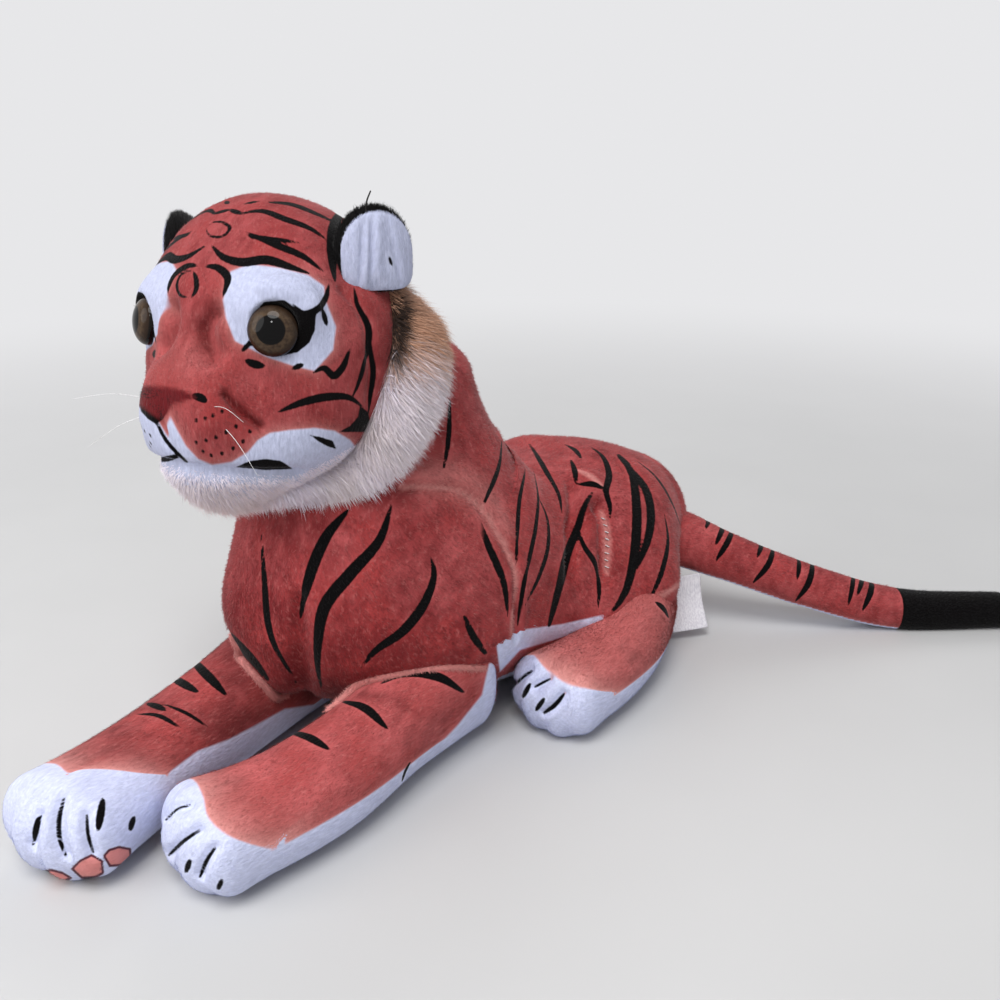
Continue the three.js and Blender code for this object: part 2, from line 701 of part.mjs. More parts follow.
// Head: face cloth, jaw cloth, collar and stuffing, with eyes, ears and whiskers
function addHead() {
  const inPlace = (solid) => moved(solid, headPlace);
  const sweep = [neckSweep(), neckBall(ballGap)];
  const eyeRoom = joined([1, -1].map((sign) => joined([
    moved(turned(eyeProfile(pieceGap), turnedAround), eyePlace(sign)),
    moved(turned(washerProfile(pieceGap), turnedAround), eyePlace(sign)),
  ])));
  const sides = { left: 1, right: -1 };
  const whiskerNames = Object.keys(whiskerShares);
  const whiskerRoom = joined([1, -1].flatMap(
    (sign) => whiskerNames.map((name) => whisker(sign, whiskerShares[name], pieceGap))));
  const stuffing = without(headForm(fillingInset), [eyeRoom, whiskerRoom]);
  const cloth = without(headForm(0), [headForm(clothThickness), eyeRoom, whiskerRoom]);
  const jawSeam = new THREE.Vector3(0, 0, -0.55 * headHalfWidth);
  const jawBlock = blockBelow(jawSeam, upward);
  const jawRoom = blockBelow(jawSeam.clone().addScaledVector(upward, pieceGap), upward);
  addPiece('head_skin', without(inPlace(cloth.subtract(jawRoom)), sweep), colours.orange);
  addPiece('chin_panel', without(inPlace(cloth.intersect(jawBlock)), sweep), colours.pale);
  addPiece('head_filling', without(inPlace(stuffing), sweep), colours.stuffing);
  addPiece('ruff_collar', without(inPlace(collarForm()), sweep), colours.cream);
  for (const [side, sign] of Object.entries(sides)) {
    const place = headPlace.clone().multiply(eyePlace(sign));
    addPiece(`eye_${side}`, moved(turned(eyeProfile(0), turnedAround), place), colours.eye, 0.1);
    addPiece(`eye_washer_${side}`, moved(turned(washerProfile(0), turnedAround), place), colours.washer, 0.5);
    whiskerNames.forEach((name) => addPiece(
      `whisker_${side}_${name}`, inPlace(whisker(sign, whiskerShares[name], 0)), colours.filament, 0.3));
    addEar(side, sign);
  }
}

// An ear, cut by the head for every fold of the ear
function addEar(side, sign) {
  const place = earPlace(sign);
  const hinge = new THREE.Vector3().setFromMatrixPosition(place);
  const outward = new THREE.Vector3(sign * earCentreShares[0], earCentreShares[1], earCentreShares[2]);
  hinge.addScaledVector(outward.normalize(), -earHalfWidth * earHingeShare);
  const axis = new THREE.Vector3(1, 0, 0).applyAxisAngle(upward, sign * earFacingAngle * degrees);
  const head = [-earFoldAngle, 0, earFoldAngle].map(
    (angle) => turnedAbout(headForm(-pieceGap), hinge, axis, angle));
  const { back, lining } = earPieces();
  addPiece(`ear_${side}_back`, moved(without(moved(back, place), head), headPlace), colours.black);
  addPiece(`ear_${side}_lining`, moved(without(moved(lining, place), head), headPlace), colours.pale);
}

// Care label: a bare doubled strip of satin sewn in at the rump
const labelTop = new THREE.Vector3(0.98 * bodyHalfWidth, 0.435 * bodyLength, 0.56 * bodyHalfHeight);
const labelFacingAngle = 62;
const labelSlopeAngle = 20;

function addLabel() {
  const strip = new THREE.BoxGeometry(labelWidth, labelThickness, labelLength, 3, 1, 4);
  strip.translate(0, 0, -labelLength / 2);
  strip.rotateX(-labelSlopeAngle * degrees);
  strip.rotateZ(labelFacingAngle * degrees);
  strip.translate(labelTop.x, labelTop.y, labelTop.z);
  addPiece('care_label', solidOf(strip), colours.satin, 0.5);
}

addBody();
addLegs();
addTail();
addHead();
addLabel();

export default model;
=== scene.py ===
# %% [markdown]
# Stuffed toy tiger, dressed for the eye.
#
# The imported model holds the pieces, their sizes and their joints. This lesson gives them plush, print,
# stitching, glassy eyes and whiskers. Everything is worked out in millimetres, in the frame of the packed
# model: Z up, nose towards -Y, the toy's left side towards +X, the floor at Z = 0.

# %% Load the frame
import json
import bpy
import numpy as np
from mathutils import Matrix, Vector
from mathutils.bvhtree import BVHTree

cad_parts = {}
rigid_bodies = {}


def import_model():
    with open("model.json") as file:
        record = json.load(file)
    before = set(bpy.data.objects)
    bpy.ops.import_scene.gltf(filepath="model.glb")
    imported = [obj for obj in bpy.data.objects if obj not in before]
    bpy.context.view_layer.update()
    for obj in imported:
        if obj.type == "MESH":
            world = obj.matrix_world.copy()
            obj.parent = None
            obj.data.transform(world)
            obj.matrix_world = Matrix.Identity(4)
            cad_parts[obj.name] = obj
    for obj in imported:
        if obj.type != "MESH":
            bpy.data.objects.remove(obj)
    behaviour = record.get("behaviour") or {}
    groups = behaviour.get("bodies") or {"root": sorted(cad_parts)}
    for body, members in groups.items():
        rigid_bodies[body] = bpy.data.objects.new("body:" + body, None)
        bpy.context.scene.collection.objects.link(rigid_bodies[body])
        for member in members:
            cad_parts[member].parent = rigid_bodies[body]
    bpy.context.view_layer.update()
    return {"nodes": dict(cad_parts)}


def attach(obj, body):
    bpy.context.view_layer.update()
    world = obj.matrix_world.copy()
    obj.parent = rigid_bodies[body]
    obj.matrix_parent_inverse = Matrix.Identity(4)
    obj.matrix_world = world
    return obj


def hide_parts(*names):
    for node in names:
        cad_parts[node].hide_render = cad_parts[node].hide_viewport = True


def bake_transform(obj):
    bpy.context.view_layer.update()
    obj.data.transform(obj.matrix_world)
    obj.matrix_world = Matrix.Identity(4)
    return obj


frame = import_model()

MM = 0.001
rng = np.random.default_rng(41)

# %% [markdown]
# The camera comes first, because the printed stripes are placed by where the photograph shows them. A
# pinhole camera is a place, three directions and a focal length in pixels, so a pixel becomes a ray and
# back again.

# %% Camera
PHOTO_SIDE = 1000.0
FOCAL_PX = 1050.0
CAMERA_AT = np.array([267.7, -307.0, 216.0])
CAMERA_SWING, CAMERA_PITCH = np.radians(42.0), np.radians(20.0)

level = np.array([-np.sin(CAMERA_SWING), np.cos(CAMERA_SWING), 0.0])
camera_right = np.array([np.cos(CAMERA_SWING), np.sin(CAMERA_SWING), 0.0])
camera_ahead = level * np.cos(CAMERA_PITCH) - np.array([0, 0, np.sin(CAMERA_PITCH)])
camera_up = level * np.sin(CAMERA_PITCH) + np.array([0, 0, np.cos(CAMERA_PITCH)])


def make_camera():
    """Blender's camera looks along its own -Z with +Y up, so its axes are right, up and minus ahead."""
    data = bpy.data.cameras.new("camera")
    data.sensor_width = 36.0
    data.lens = data.sensor_width * FOCAL_PX / PHOTO_SIDE
    data.clip_start, data.clip_end = 0.01, 20.0
    camera = bpy.data.objects.new("camera", data)
    axes = np.stack([camera_right, camera_up, -camera_ahead], axis=1)
    place = Matrix(axes.tolist()).to_4x4()
    place.translation = Vector(CAMERA_AT * MM)
    camera.matrix_world = place
    bpy.context.scene.collection.objects.link(camera)
    bpy.context.scene.camera = camera


def pixels_of(points):
    """Pixel u, v of each point: focal length times sideways or upward offset, over depth."""
    offset = points - CAMERA_AT
    depth = offset @ camera_ahead
    u = PHOTO_SIDE / 2 + FOCAL_PX * (offset @ camera_right) / depth
    v = PHOTO_SIDE / 2 - FOCAL_PX * (offset @ camera_up) / depth
    return np.stack([u, v], axis=-1)


def ray_of(pixel):
    """Direction from the camera through a pixel: the inverse of pixels_of."""
    across, down = np.asarray(pixel, float) - PHOTO_SIDE / 2
    ray = camera_ahead + camera_right * across / FOCAL_PX - camera_up * down / FOCAL_PX
    return ray / np.linalg.norm(ray)


make_camera()
print("camera at", CAMERA_AT, "mm")

# %% [markdown]
# A stuffed tube is the one shape that the body, the legs and the tail share: a closed section, a little
# squarer than an ellipse, carried along a bent centre line with a dome at each end. The stations are those
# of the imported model. A cubic through them gives as many sections as the plush needs to look round.

# %% Stuffed tube
SECTION_POWER = 2.2


def smooth_rows(rows, count):
    """Rows at equal steps of chord length on a cubic through the given rows, with chord-weighted slopes."""
    rows = np.asarray(rows, float)
    chord = np.linalg.norm(np.diff(rows[:, :3], axis=0), axis=1)
    run = np.concatenate([[0.0], np.cumsum(chord)])
    steps = np.diff(rows, axis=0) / chord[:, None]
    slope = np.empty_like(rows)
    slope[0], slope[-1] = steps[0], steps[-1]
    before, after = chord[:-1, None], chord[1:, None]
    slope[1:-1] = (steps[:-1] * after + steps[1:] * before) / (before + after)
    at = np.linspace(0.0, run[-1], count)
    i = np.clip(np.searchsorted(run, at, side="right") - 1, 0, len(rows) - 2)
    span = (run[i + 1] - run[i])[:, None]
    x = (at[:, None] - run[i][:, None]) / span
    start = 2 * x**3 - 3 * x**2 + 1
    return (start * rows[i] + (x**3 - 2 * x**2 + x) * span * slope[i]
            + (1 - start) * rows[i + 1] + (x**3 - x**2) * span * slope[i + 1])


class Tube:
    """Sections along a centre line: centre, three directions, and half width, height up and height down."""

    def __init__(self, rows, side, cap_start, cap_end, around, along, cap_rings=14):
        smooth = smooth_rows(rows, along)
        self.centre, self.sizes = smooth[:, :3], smooth[:, 3:6]
        ahead = np.empty_like(self.centre)
        ahead[1:-1] = self.centre[2:] - self.centre[:-2]
        ahead[0], ahead[-1] = self.centre[1] - self.centre[0], self.centre[-1] - self.centre[-2]
        self.ahead = ahead / np.linalg.norm(ahead, axis=1)[:, None]
        across = np.asarray(side, float) - (self.ahead @ np.asarray(side, float))[:, None] * self.ahead
        self.across = across / np.linalg.norm(across, axis=1)[:, None]
        self.over = np.cross(self.ahead, self.across)
        self.over *= np.sign(self.over[len(self.over) // 2, 2] or 1.0)
        self.caps, self.around, self.cap_rings = (cap_start, cap_end), around, cap_rings

    def grid(self):
        """Ring by ring: centre + x across + z over, where x and z follow a squarish ellipse, and each
        end's rings step outward by a sine while they shrink by a cosine."""
        lean = np.linspace(0, np.pi / 2, self.cap_rings + 2)[1:-1]
        count = len(self.centre)
        ring = np.concatenate([np.zeros(len(lean), int), np.arange(count), np.full(len(lean), count - 1)])
        offset = np.concatenate([-self.caps[0] * np.sin(lean[::-1]), np.zeros(count), self.caps[1]
                                 * np.sin(lean)])
        share = np.concatenate([np.cos(lean[::-1]), np.ones(count), np.cos(lean)])
        angle = 2 * np.pi * np.arange(self.around) / self.around
        c, s = np.cos(angle), np.sin(angle)
        x = np.sign(c) * np.abs(c) ** (2 / SECTION_POWER)
        z = np.sign(s) * np.abs(s) ** (2 / SECTION_POWER)
        half, up, down = self.sizes[ring].T
        height = np.where(z[None] > 0, up[:, None], down[:, None])
        return ((self.centre[ring] + self.ahead[ring] * offset[:, None])[:, None]
                + self.across[ring][:, None] * (x[None] * half[:, None] * share[:, None])[..., None]
                + self.over[ring][:, None] * (z[None] * height * share[:, None])[..., None])

    def poles(self):
        first = self.centre[0] - self.ahead[0] * self.caps[0]
        last = self.centre[-1] + self.ahead[-1] * self.caps[1]
        return np.stack([first, last])

    def depth_of(self, points):
        """Rough depth below the surface, in mm: positive inside the tube, by the nearest section."""
        thin = slice(None, None, 4)
        near = np.linalg.norm(points[:, None, :] - self.centre[None, thin], axis=2).argmin(1)
        offset = points - self.centre[thin][near]
        half, up, down = self.sizes[thin][near].T
        across = np.einsum("ij,ij->i", offset, self.across[thin][near])
        over = np.einsum("ij,ij->i", offset, self.over[thin][near])
        along = np.einsum("ij,ij->i", offset, self.ahead[thin][near])
        height = np.where(over > 0, up, down)
        level = np.abs(across / half) ** SECTION_POWER + np.abs(over / height) ** SECTION_POWER
        beyond = np.maximum(np.abs(along) - 3.0, 0) / half
        return (1 - level ** (1 / SECTION_POWER) - beyond) * np.minimum(half, height)


# %% [markdown]
# Meshes are filled from whole arrays. A ring grid closes on itself round the tube, and a fan closes each
# end.

# %% Mesh from arrays
def fill_mesh(name, points, quads, triangles=()):
    mesh = bpy.data.meshes.new(name)
    quads = np.asarray(quads, np.int32).reshape(-1, 4)
    triangles = np.asarray(triangles, np.int32).reshape(-1, 3)
    loops = np.concatenate([quads.ravel(), triangles.ravel()])
    sizes = np.concatenate([np.full(len(quads), 4), np.full(len(triangles), 3)]).astype(np.int32)
    mesh.vertices.add(len(points))
    mesh.vertices.foreach_set("co", (np.asarray(points) * MM).astype(np.float32).ravel())
    mesh.loops.add(len(loops))
    mesh.loops.foreach_set("vertex_index", loops)
    mesh.polygons.add(len(sizes))
    mesh.polygons.foreach_set("loop_start", np.concatenate([[0], np.cumsum(sizes)[:-1]]).astype(np.int32))
    mesh.update(calc_edges=True)
    mesh.validate()
    return mesh


def add_piece(name, mesh, material, smooth=True):
    mesh.materials.append(material)
    if smooth:
        mesh.shade_smooth()
    piece = bpy.data.objects.new(name, mesh)
    bpy.context.scene.collection.objects.link(piece)
    return piece


def ring_faces(rings, around):
    """Quads between neighbouring rings, and the two fans that close the ends onto the last two points."""
    r, k = np.meshgrid(np.arange(rings - 1), np.arange(around), indexing="ij")
    a, b = r * around + k, r * around + (k + 1) % around
    quads = np.stack([a, b, b + around, a + around], axis=-1).reshape(-1, 4)
    k = np.arange(around)
    first, last = rings * around, rings * around + 1
    top = (rings - 1) * around
    fans = np.concatenate([
        np.stack([np.full(around, first), (k + 1) % around, k], axis=1),
        np.stack([np.full(around, last), top + k, top + (k + 1) % around], axis=1)])
    return quads, fans


def outward(points, quads, fans):
    """Turns every face round if the signed volume, a sum of corner products, comes out negative."""
    corners = np.concatenate([quads[:, [0, 1, 2]], quads[:, [0, 2, 3]], fans])
    a, b, c = points[corners[:, 0]], points[corners[:, 1]], points[corners[:, 2]]
    if np.einsum("ij,ij->i", a, np.cross(b, c)).sum() < 0:
        return quads[:, ::-1], fans[:, ::-1]
    return quads, fans


def normals_of(mesh):
    found = np.empty(len(mesh.vertices) * 3, np.float32)
    mesh.vertex_normals.foreach_get("vector", found)
    return found.reshape(-1, 3).astype(float)


def set_value(mesh, name, values):
    attribute = mesh.attributes.new(name, "FLOAT", "POINT")
    attribute.data.foreach_set("value", np.asarray(values, np.float32))


DEPTHS = range(220, 640, 5)
NEAR_MISS = 7.0


class Skin:
    """A closed surface as arrays: points, faces, normals, and a tree for finding where a ray meets it."""

    def __init__(self, points, quads, fans):
        self.quads, self.fans = outward(points, quads, fans)
        self.reshape(points)

    def reshape(self, points):
        self.points = points
        mesh = fill_mesh("scratch", points, self.quads, self.fans)
        self.normals = normals_of(mesh)
        bpy.data.meshes.remove(mesh)
        corners = np.concatenate([self.quads, np.pad(self.fans, ((0, 0), (0, 1)), mode="edge")])
        self.tree = None
        self.corners = corners

    def find_tree(self):
        if self.tree is None:
            faces = self.quads.tolist() + self.fans.tolist()
            self.tree = BVHTree.FromPolygons(self.points.tolist(), faces)
        return self.tree

    def cast(self, pixel):
        """Where the ray through a pixel first meets the skin, or the nearest skin where it just misses."""
        start, ray = Vector(CAMERA_AT), Vector(ray_of(pixel))
        hit = self.find_tree().ray_cast(start, ray)[0]
        if hit is not None:
            return np.array(hit)
        found = [self.find_tree().find_nearest(start + ray * far) for far in DEPTHS]
        nearest = min(found, key=lambda each: each[3])
        return np.array(nearest[0]) if nearest[3] < NEAR_MISS else None

    def snap(self, points):
        """The nearest point of the skin to each of a few given points."""
        return np.array([self.find_tree().find_nearest(Vector(p))[0] for p in points])


def tube_skin(tube):
    grid = tube.grid()
    points = np.concatenate([grid.reshape(-1, 3), tube.poles()])
    return Skin(points, *ring_faces(*grid.shape[:2]))


# %% [markdown]
# Print is drawn as strokes: a few pixels of the photograph, cast onto the surface, joined by the same smooth
# cubic, with a width that tapers to both ends. How far a point lies from the nearest stroke, less half the
# stroke's width, is a smooth field, and ink is where that field is below zero. A groove uses it as well.

# %% Strokes and fields
FAR = 99.0


LONGEST_STEP, STROKE_STEP_PX = 9.0, 3.0


def longest_run(points):
    """The longest stretch of the points with no step over the limit, so that no stroke jumps a fold."""
    steps = np.linalg.norm(np.diff(points, axis=0), axis=1)
    parts = np.split(points, np.flatnonzero(steps > LONGEST_STEP) + 1)
    run = max(parts, key=len)
    moving = np.linalg.norm(np.diff(run, axis=0), axis=1) > 0.02
    return run[np.concatenate([[True], moving])]


def stroke_on(skin, pixels, width, blunt=0.65):
    """Line on the skin under a smooth path of pixels, and its half width: a sine raised to a small power."""
    length = np.linalg.norm(np.diff(np.array(pixels, float), axis=0), axis=1).sum()
    path = smooth_rows(pixels, max(5, int(length / STROKE_STEP_PX)))
    hits = [hit for hit in map(skin.cast, path) if hit is not None]
    if len(hits) < 2:
        return None
    line = longest_run(np.array(hits))
    if len(line) < 2:
        return None
    share = np.linspace(0, 1, len(line))
    return line, width / 2 * (0.06 + 0.94 * np.sin(np.pi * share) ** blunt)


def strokes_on(skin, table):
    made = [stroke_on(skin, pixels, width) for pixels, width in table]
    return [stroke for stroke in made if stroke is not None]


def stroke_field(points, strokes, margin=6.0):
    """Least over the strokes of the distance to a stroke's line less its half width there."""
    field = np.full(len(points), FAR)
    for line, half in strokes:
        low, high = line.min(0) - margin, line.max(0) + margin
        near = np.flatnonzero(np.all((points > low) & (points < high), axis=1))
        if not len(near):
            continue
        start, step = line[:-1], np.diff(line, axis=0)
        offset = points[near][:, None] - start[None]
        share = np.clip((offset * step).sum(2) / np.maximum((step**2).sum(1), 1e-9), 0, 1)
        distance = np.linalg.norm(offset - share[..., None] * step, axis=2)
        edge = half[:-1] + np.diff(half) * share
        field[near] = np.minimum(field[near], (distance - edge).min(1))
    return field


DRAWN_SPREAD = 0.26


def drawn_field(points, normals, table, mm_per_px):
    """Field of strokes that lie flat in the photograph: the distance in pixels to each path less its half
    width, in millimetres, on what faces the camera."""
    pixels = pixels_of(points)
    field = np.full(len(points), FAR)
    for path, width in table:
        line = smooth_rows(path, 14)
        margin = width / mm_per_px + 12
        near = np.flatnonzero(np.all((pixels > line.min(0) - margin) & (pixels < line.max(0) + margin),
                                     axis=1))
        step = np.diff(line, axis=0)
        offset = pixels[near][:, None] - line[None, :-1]
        share = np.clip((offset * step).sum(2) / (step**2).sum(1), 0, 1)
        distance = np.linalg.norm(offset - share[..., None] * step, axis=2) * mm_per_px
        along = (np.arange(len(step)) + share) / len(step)
        edge = DRAWN_SPREAD + width / 2 * (0.15 + 0.85 * np.sin(np.pi * np.clip(along, 0, 1)) ** 0.6)
        field[near] = np.minimum(field[near], (distance - edge).min(1))
    return np.where(normals @ camera_ahead < -0.05, field, FAR)


def outline_field(pixels, outline):
    """Signed distance in pixels to a closed outline, below zero inside, by crossings and nearest edge."""
    a = np.asarray(outline, float)
    b = np.roll(a, -1, axis=0)
    step = b - a
    offset = pixels[:, None] - a[None]
    share = np.clip((offset * step).sum(2) / (step**2).sum(1), 0, 1)
    distance = np.linalg.norm(offset - share[..., None] * step, axis=2).min(1)
    u, v = pixels[:, 0, None], pixels[:, 1, None]
    spans = (a[:, 1] > v) != (b[:, 1] > v)
    crossing = a[:, 0] + (v - a[:, 1]) * step[:, 0] / np.where(step[:, 1] == 0, 1e-9, step[:, 1])
    inside = (spans & (u < crossing)).sum(1) % 2 == 1
    return np.where(inside, -distance, distance)


def groove(field, depth, width):
    """A soft dent where the field is small: depth times a bell curve of the field over width."""
    return -depth * np.exp(-(np.maximum(field, 0) / width) ** 2)


# %% [markdown]
# The body is one long cushion, from the rump to the top of the neck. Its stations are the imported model's.

# %% Body shape
BODY_LENGTH, BODY_HALF_WIDTH, BODY_HALF_HEIGHT, NECK_HEIGHT = 140.0, 46.0, 48.0, 120.0
LEG_HALF_WIDTH, FORELEG_LENGTH, HINDLEG_LENGTH = 18.0, 120.0, 76.0
TAIL_LENGTH, TAIL_RADIUS = 165.0, 11.0
FLOOR_FLAT = 0.5
BELLY_SEAM = 0.3 * BODY_HALF_HEIGHT

body_shares = np.array([
    [0.08, 0.49, 0.335, 0.74, 0.7, 0.8], [0.06, 0.31, 0.36, 1, 0.84, 0.912], [0.04, 0.06, 0.355, 1, 0.9, 0.9],
    [0, -0.16, 0.38, 0.96, 0.96, 0.95], [-0.04, -0.33, 0.475, 0.99, 1.05, 1.25],
    [-0.09, -0.45, 0.62, 0.98, 1.06, 1.36], [-0.13, -0.5, 0.82, 0.91, 1, 1.06],
    [-0.17, -0.51, 1.07, 0.79, 0.74, 0.9]])
body_scale = [BODY_HALF_WIDTH, BODY_LENGTH, NECK_HEIGHT, BODY_HALF_WIDTH, BODY_HALF_HEIGHT, BODY_HALF_HEIGHT]
body_tube = Tube(body_shares * body_scale, (1, 0, 0), 0.42 * BODY_HALF_HEIGHT, 0.42 * BODY_HALF_HEIGHT, 200,
                 230)
body_skin = tube_skin(body_tube)
print("body:", len(body_skin.points), "points")

# %% [markdown]
# Legs lie on the floor, so each section's height is set from its underside. The left and right forelegs
# differ: the toy's right one reaches further and turns inward. The hind legs are mirror images.

# %% Leg and tail shapes
foreleg_left_shares = [
    [0.62, 0, 0, 1, 1.05, 1.72], [0.72, -0.2, 0, 0.98, 0.95, 1.4], [0.76, -0.42, 0, 0.95, 0.9, 1.12],
    [0.74, -0.65, 0, 1, 0.83, 0.93], [0.66, -0.85, 0, 1.1, 0.82, 0.88]]
foreleg_right_shares = [
    [-0.68, 0, 0, 1, 1.1, 1.86], [-0.6, -0.28, 0, 0.98, 1, 1.45], [-0.46, -0.56, 0, 0.97, 0.92, 1.12],
    [-0.3, -0.84, 0, 1.06, 0.85, 0.95], [-0.16, -1.07, 0, 1.18, 0.86, 0.92]]
hindleg_shares = [
    [0.82, 0.2, 0, 0.95, 1.2, 1.42], [1.02, -0.04, 0, 0.95, 1, 1.17], [1.17, -0.36, 0, 0.94, 0.86, 0.94],
    [1.18, -0.74, 0, 1.02, 0.82, 0.87]]
tail_shares = [
    [0.1, 0, 2.6, 1.35, 1.3, 1.4], [0.19, 0.08, 2.4, 1.18, 1.1, 1.2], [0.31, 0.14, 2, 1, 0.92, 1],
    [0.49, 0.26, 1.02, 0.88, 0.84, 0.88], [0.69, 0.43, 0, 0.78, 0.76, 0.88], [0.89, 0.62, 0, 0.7, 0.7, 0.71]]
SHOULDER_ALONG, HIP_ALONG, TAIL_ALONG = -0.49 * BODY_LENGTH, 0.14 * BODY_LENGTH, 0.42 * BODY_LENGTH


def on_floor(shares, scale, root_along):
    """Rows in millimetres, moved along to their root, with each centre its down height above its lift."""
    rows = np.array(shares, float) * scale
    rows[:, 1] += root_along
    rows[:, 2] += rows[:, 5] - FLOOR_FLAT
    return rows


def leg_rows(shares, length, root_along):
    return on_floor(shares, [BODY_HALF_WIDTH, length] + [LEG_HALF_WIDTH] * 4, root_along)


def leg_tube(rows):
    return Tube(rows, (1, 0, 0), 0.8 * LEG_HALF_WIDTH, 0.72 * LEG_HALF_WIDTH, 160, 160, 40)


hind_rows = leg_rows(hindleg_shares, HINDLEG_LENGTH, HIP_ALONG)
leg_tubes = {
    "foreleg_left": leg_tube(leg_rows(foreleg_left_shares, FORELEG_LENGTH, SHOULDER_ALONG)),
    "foreleg_right": leg_tube(leg_rows(foreleg_right_shares, FORELEG_LENGTH, SHOULDER_ALONG)),
    "hindleg_left": leg_tube(hind_rows),
    "hindleg_right": leg_tube(hind_rows * [-1, 1, 1, 1, 1, 1]),
}
tail_rows = on_floor(tail_shares, [TAIL_LENGTH] * 2 + [TAIL_RADIUS] * 4, TAIL_ALONG)
tail_run = (tail_rows[-1] - tail_rows[-2])[:3] * [1, 1, 0]
tail_run /= np.linalg.norm(tail_run)
tail_side = np.cross([0, 0, 1], tail_run)
tail_tube = Tube(tail_rows, tail_side, 0.8 * TAIL_RADIUS, 0.8 * TAIL_RADIUS, 76, 240)
leg_skins = {name: tube_skin(tube) for name, tube in leg_tubes.items()}
tail_skin = tube_skin(tail_tube)

# %% [markdown]
# The head is several stuffed forms under one cloth. Each is an egg with six half axes, and a smooth union
# rounds the hollows between them: minus the logarithm of a sum of exponentials of their distances. Rays
# from the middle of the head find where that union ends by halving an interval, which gives a grid of
# points over the whole head. The grid's poles are at the ears, where the ears hide them.

# %% Head shape
HEAD_HALF_WIDTH = 44.0
HEAD_AT = np.array([-0.25 * HEAD_HALF_WIDTH, -0.75 * BODY_LENGTH, 1.24 * NECK_HEIGHT])


def turn(degrees, axis):
    """Rotation matrix about X, Y or Z."""
    c, s = np.cos(np.radians(degrees)), np.sin(np.radians(degrees))
    i, j = [(1, 2), (2, 0), (0, 1)][axis]
    matrix = np.eye(3)
    matrix[i, i], matrix[j, j], matrix[i, j], matrix[j, i] = c, c, -s, s
    return matrix


HEAD_TURN = turn(12, 2) @ turn(-3, 0) @ turn(-2, 1)


def to_world(points):
    return points @ HEAD_TURN.T + HEAD_AT


def to_head(points):
    return (points - HEAD_AT) @ HEAD_TURN


def mirror(points):
    return points * [-1, 1, 1]


# Each form: centre x, y, z, then half width, front, back, up and down, in shares of the head's half width
head_shares = {
    "cranium": [0, -0.06, 0, 1, 0.74, 1, 1.03, 1],
    "nape": [0, 0.62, -0.4, 0.8, 0.5, 0.78, 0.78, 0.75],
    "jaw": [0, -0.45, -0.58, 0.74, 0.56, 0.5, 0.5, 0.45],
    "bridge": [0, -0.58, 0.02, 0.42, 0.33, 0.3, 0.45, 0.5],
    "muzzle": [0, -0.8, -0.34, 0.4, 0.42, 0.55, 0.4, 0.44],
}
paired_shares = {
    "cheek": [0.52, -0.32, -0.42, 0.36, 0.34, 0.4, 0.36, 0.36],
    "brow": [0.44, -0.52, 0.32, 0.3, 0.24, 0.3, 0.2, 0.22],
    "whisker_pad": [0.17, -0.94, -0.43, 0.2, 0.21, 0.34, 0.19, 0.22],
}
collar_shares = [0, 0.02, -0.2, 1.26, 0.8, 1.2, 0.95, 1.06]
UNION_SHARPNESS = 0.42


def egg_distance(points, shares):
    """About how far outside an egg each point is: its scaled radius less one, times the least half axis."""
    centre = np.array(shares[:3]) * HEAD_HALF_WIDTH
    half, front, back, up, down = np.array(shares[3:]) * HEAD_HALF_WIDTH
    offset = points - centre
    scaled = np.stack([
        offset[..., 0] / half,
        offset[..., 1] / np.where(offset[..., 1] < 0, front, back),
        offset[..., 2] / np.where(offset[..., 2] < 0, down, up)], axis=-1)
    return (np.linalg.norm(scaled, axis=-1) - 1) * min(half, front, back, up, down)


def head_distance(points):
    """Smooth union of the head's eggs; the paired ones see each point folded onto the left half."""
    folded = np.concatenate([np.abs(points[..., :1]), points[..., 1:]], axis=-1)
    forms = [egg_distance(points, shares) for shares in head_shares.values()]
    forms += [egg_distance(folded, shares) for shares in paired_shares.values()]
    total = sum(np.exp(-UNION_SHARPNESS * form) for form in forms)
    return -np.log(np.maximum(total, 1e-30)) / UNION_SHARPNESS


def reach_of(distance, middle, directions, longest):
    """Length at which each ray leaves the form: halve the interval between inside and outside 22 times."""
    low, high = np.zeros(directions.shape[:-1]), np.full(directions.shape[:-1], longest)
    for _ in range(22):
        half = (low + high) / 2
        inside = distance(middle + directions * half[..., None]) < 0
        low, high = np.where(inside, half, low), np.where(inside, high, half)
    return (low + high) / 2


HEAD_MIDDLE = np.array([0, -0.2, -0.15]) * HEAD_HALF_WIDTH


def head_grid(around=340, rings=220):
    """Directions by an angle about the X axis and an angle from it, each run out to the head's surface."""
    lean = np.pi * (np.arange(rings) + 1) / (rings + 1)
    angle = 2 * np.pi * np.arange(around) / around
    lean, angle = np.meshgrid(lean, angle, indexing="ij")
    directions = np.stack([np.cos(lean), np.sin(lean) * np.cos(angle), np.sin(lean) * np.sin(angle)], axis=-1)
    reach = reach_of(head_distance, HEAD_MIDDLE, directions, 2.2 * HEAD_HALF_WIDTH)
    return HEAD_MIDDLE + directions * reach[..., None]


def head_skin_of(grid):
    ends = np.array([[1.0, 0, 0], [-1.0, 0, 0]])
    reach = reach_of(head_distance, HEAD_MIDDLE, ends, 2.2 * HEAD_HALF_WIDTH)
    points = np.concatenate([grid.reshape(-1, 3), HEAD_MIDDLE + ends * reach[:, None]])
    return Skin(to_world(points), *ring_faces(*grid.shape[:2]))


head_skin = head_skin_of(head_grid())
print("head:", len(head_skin.points), "points")

# %% [markdown]
# Where the photograph shows the printed stripes. Every row is a list of pixels and a width in millimetres.
# Only the toy's left side faces the camera; the right side takes the mirror image.

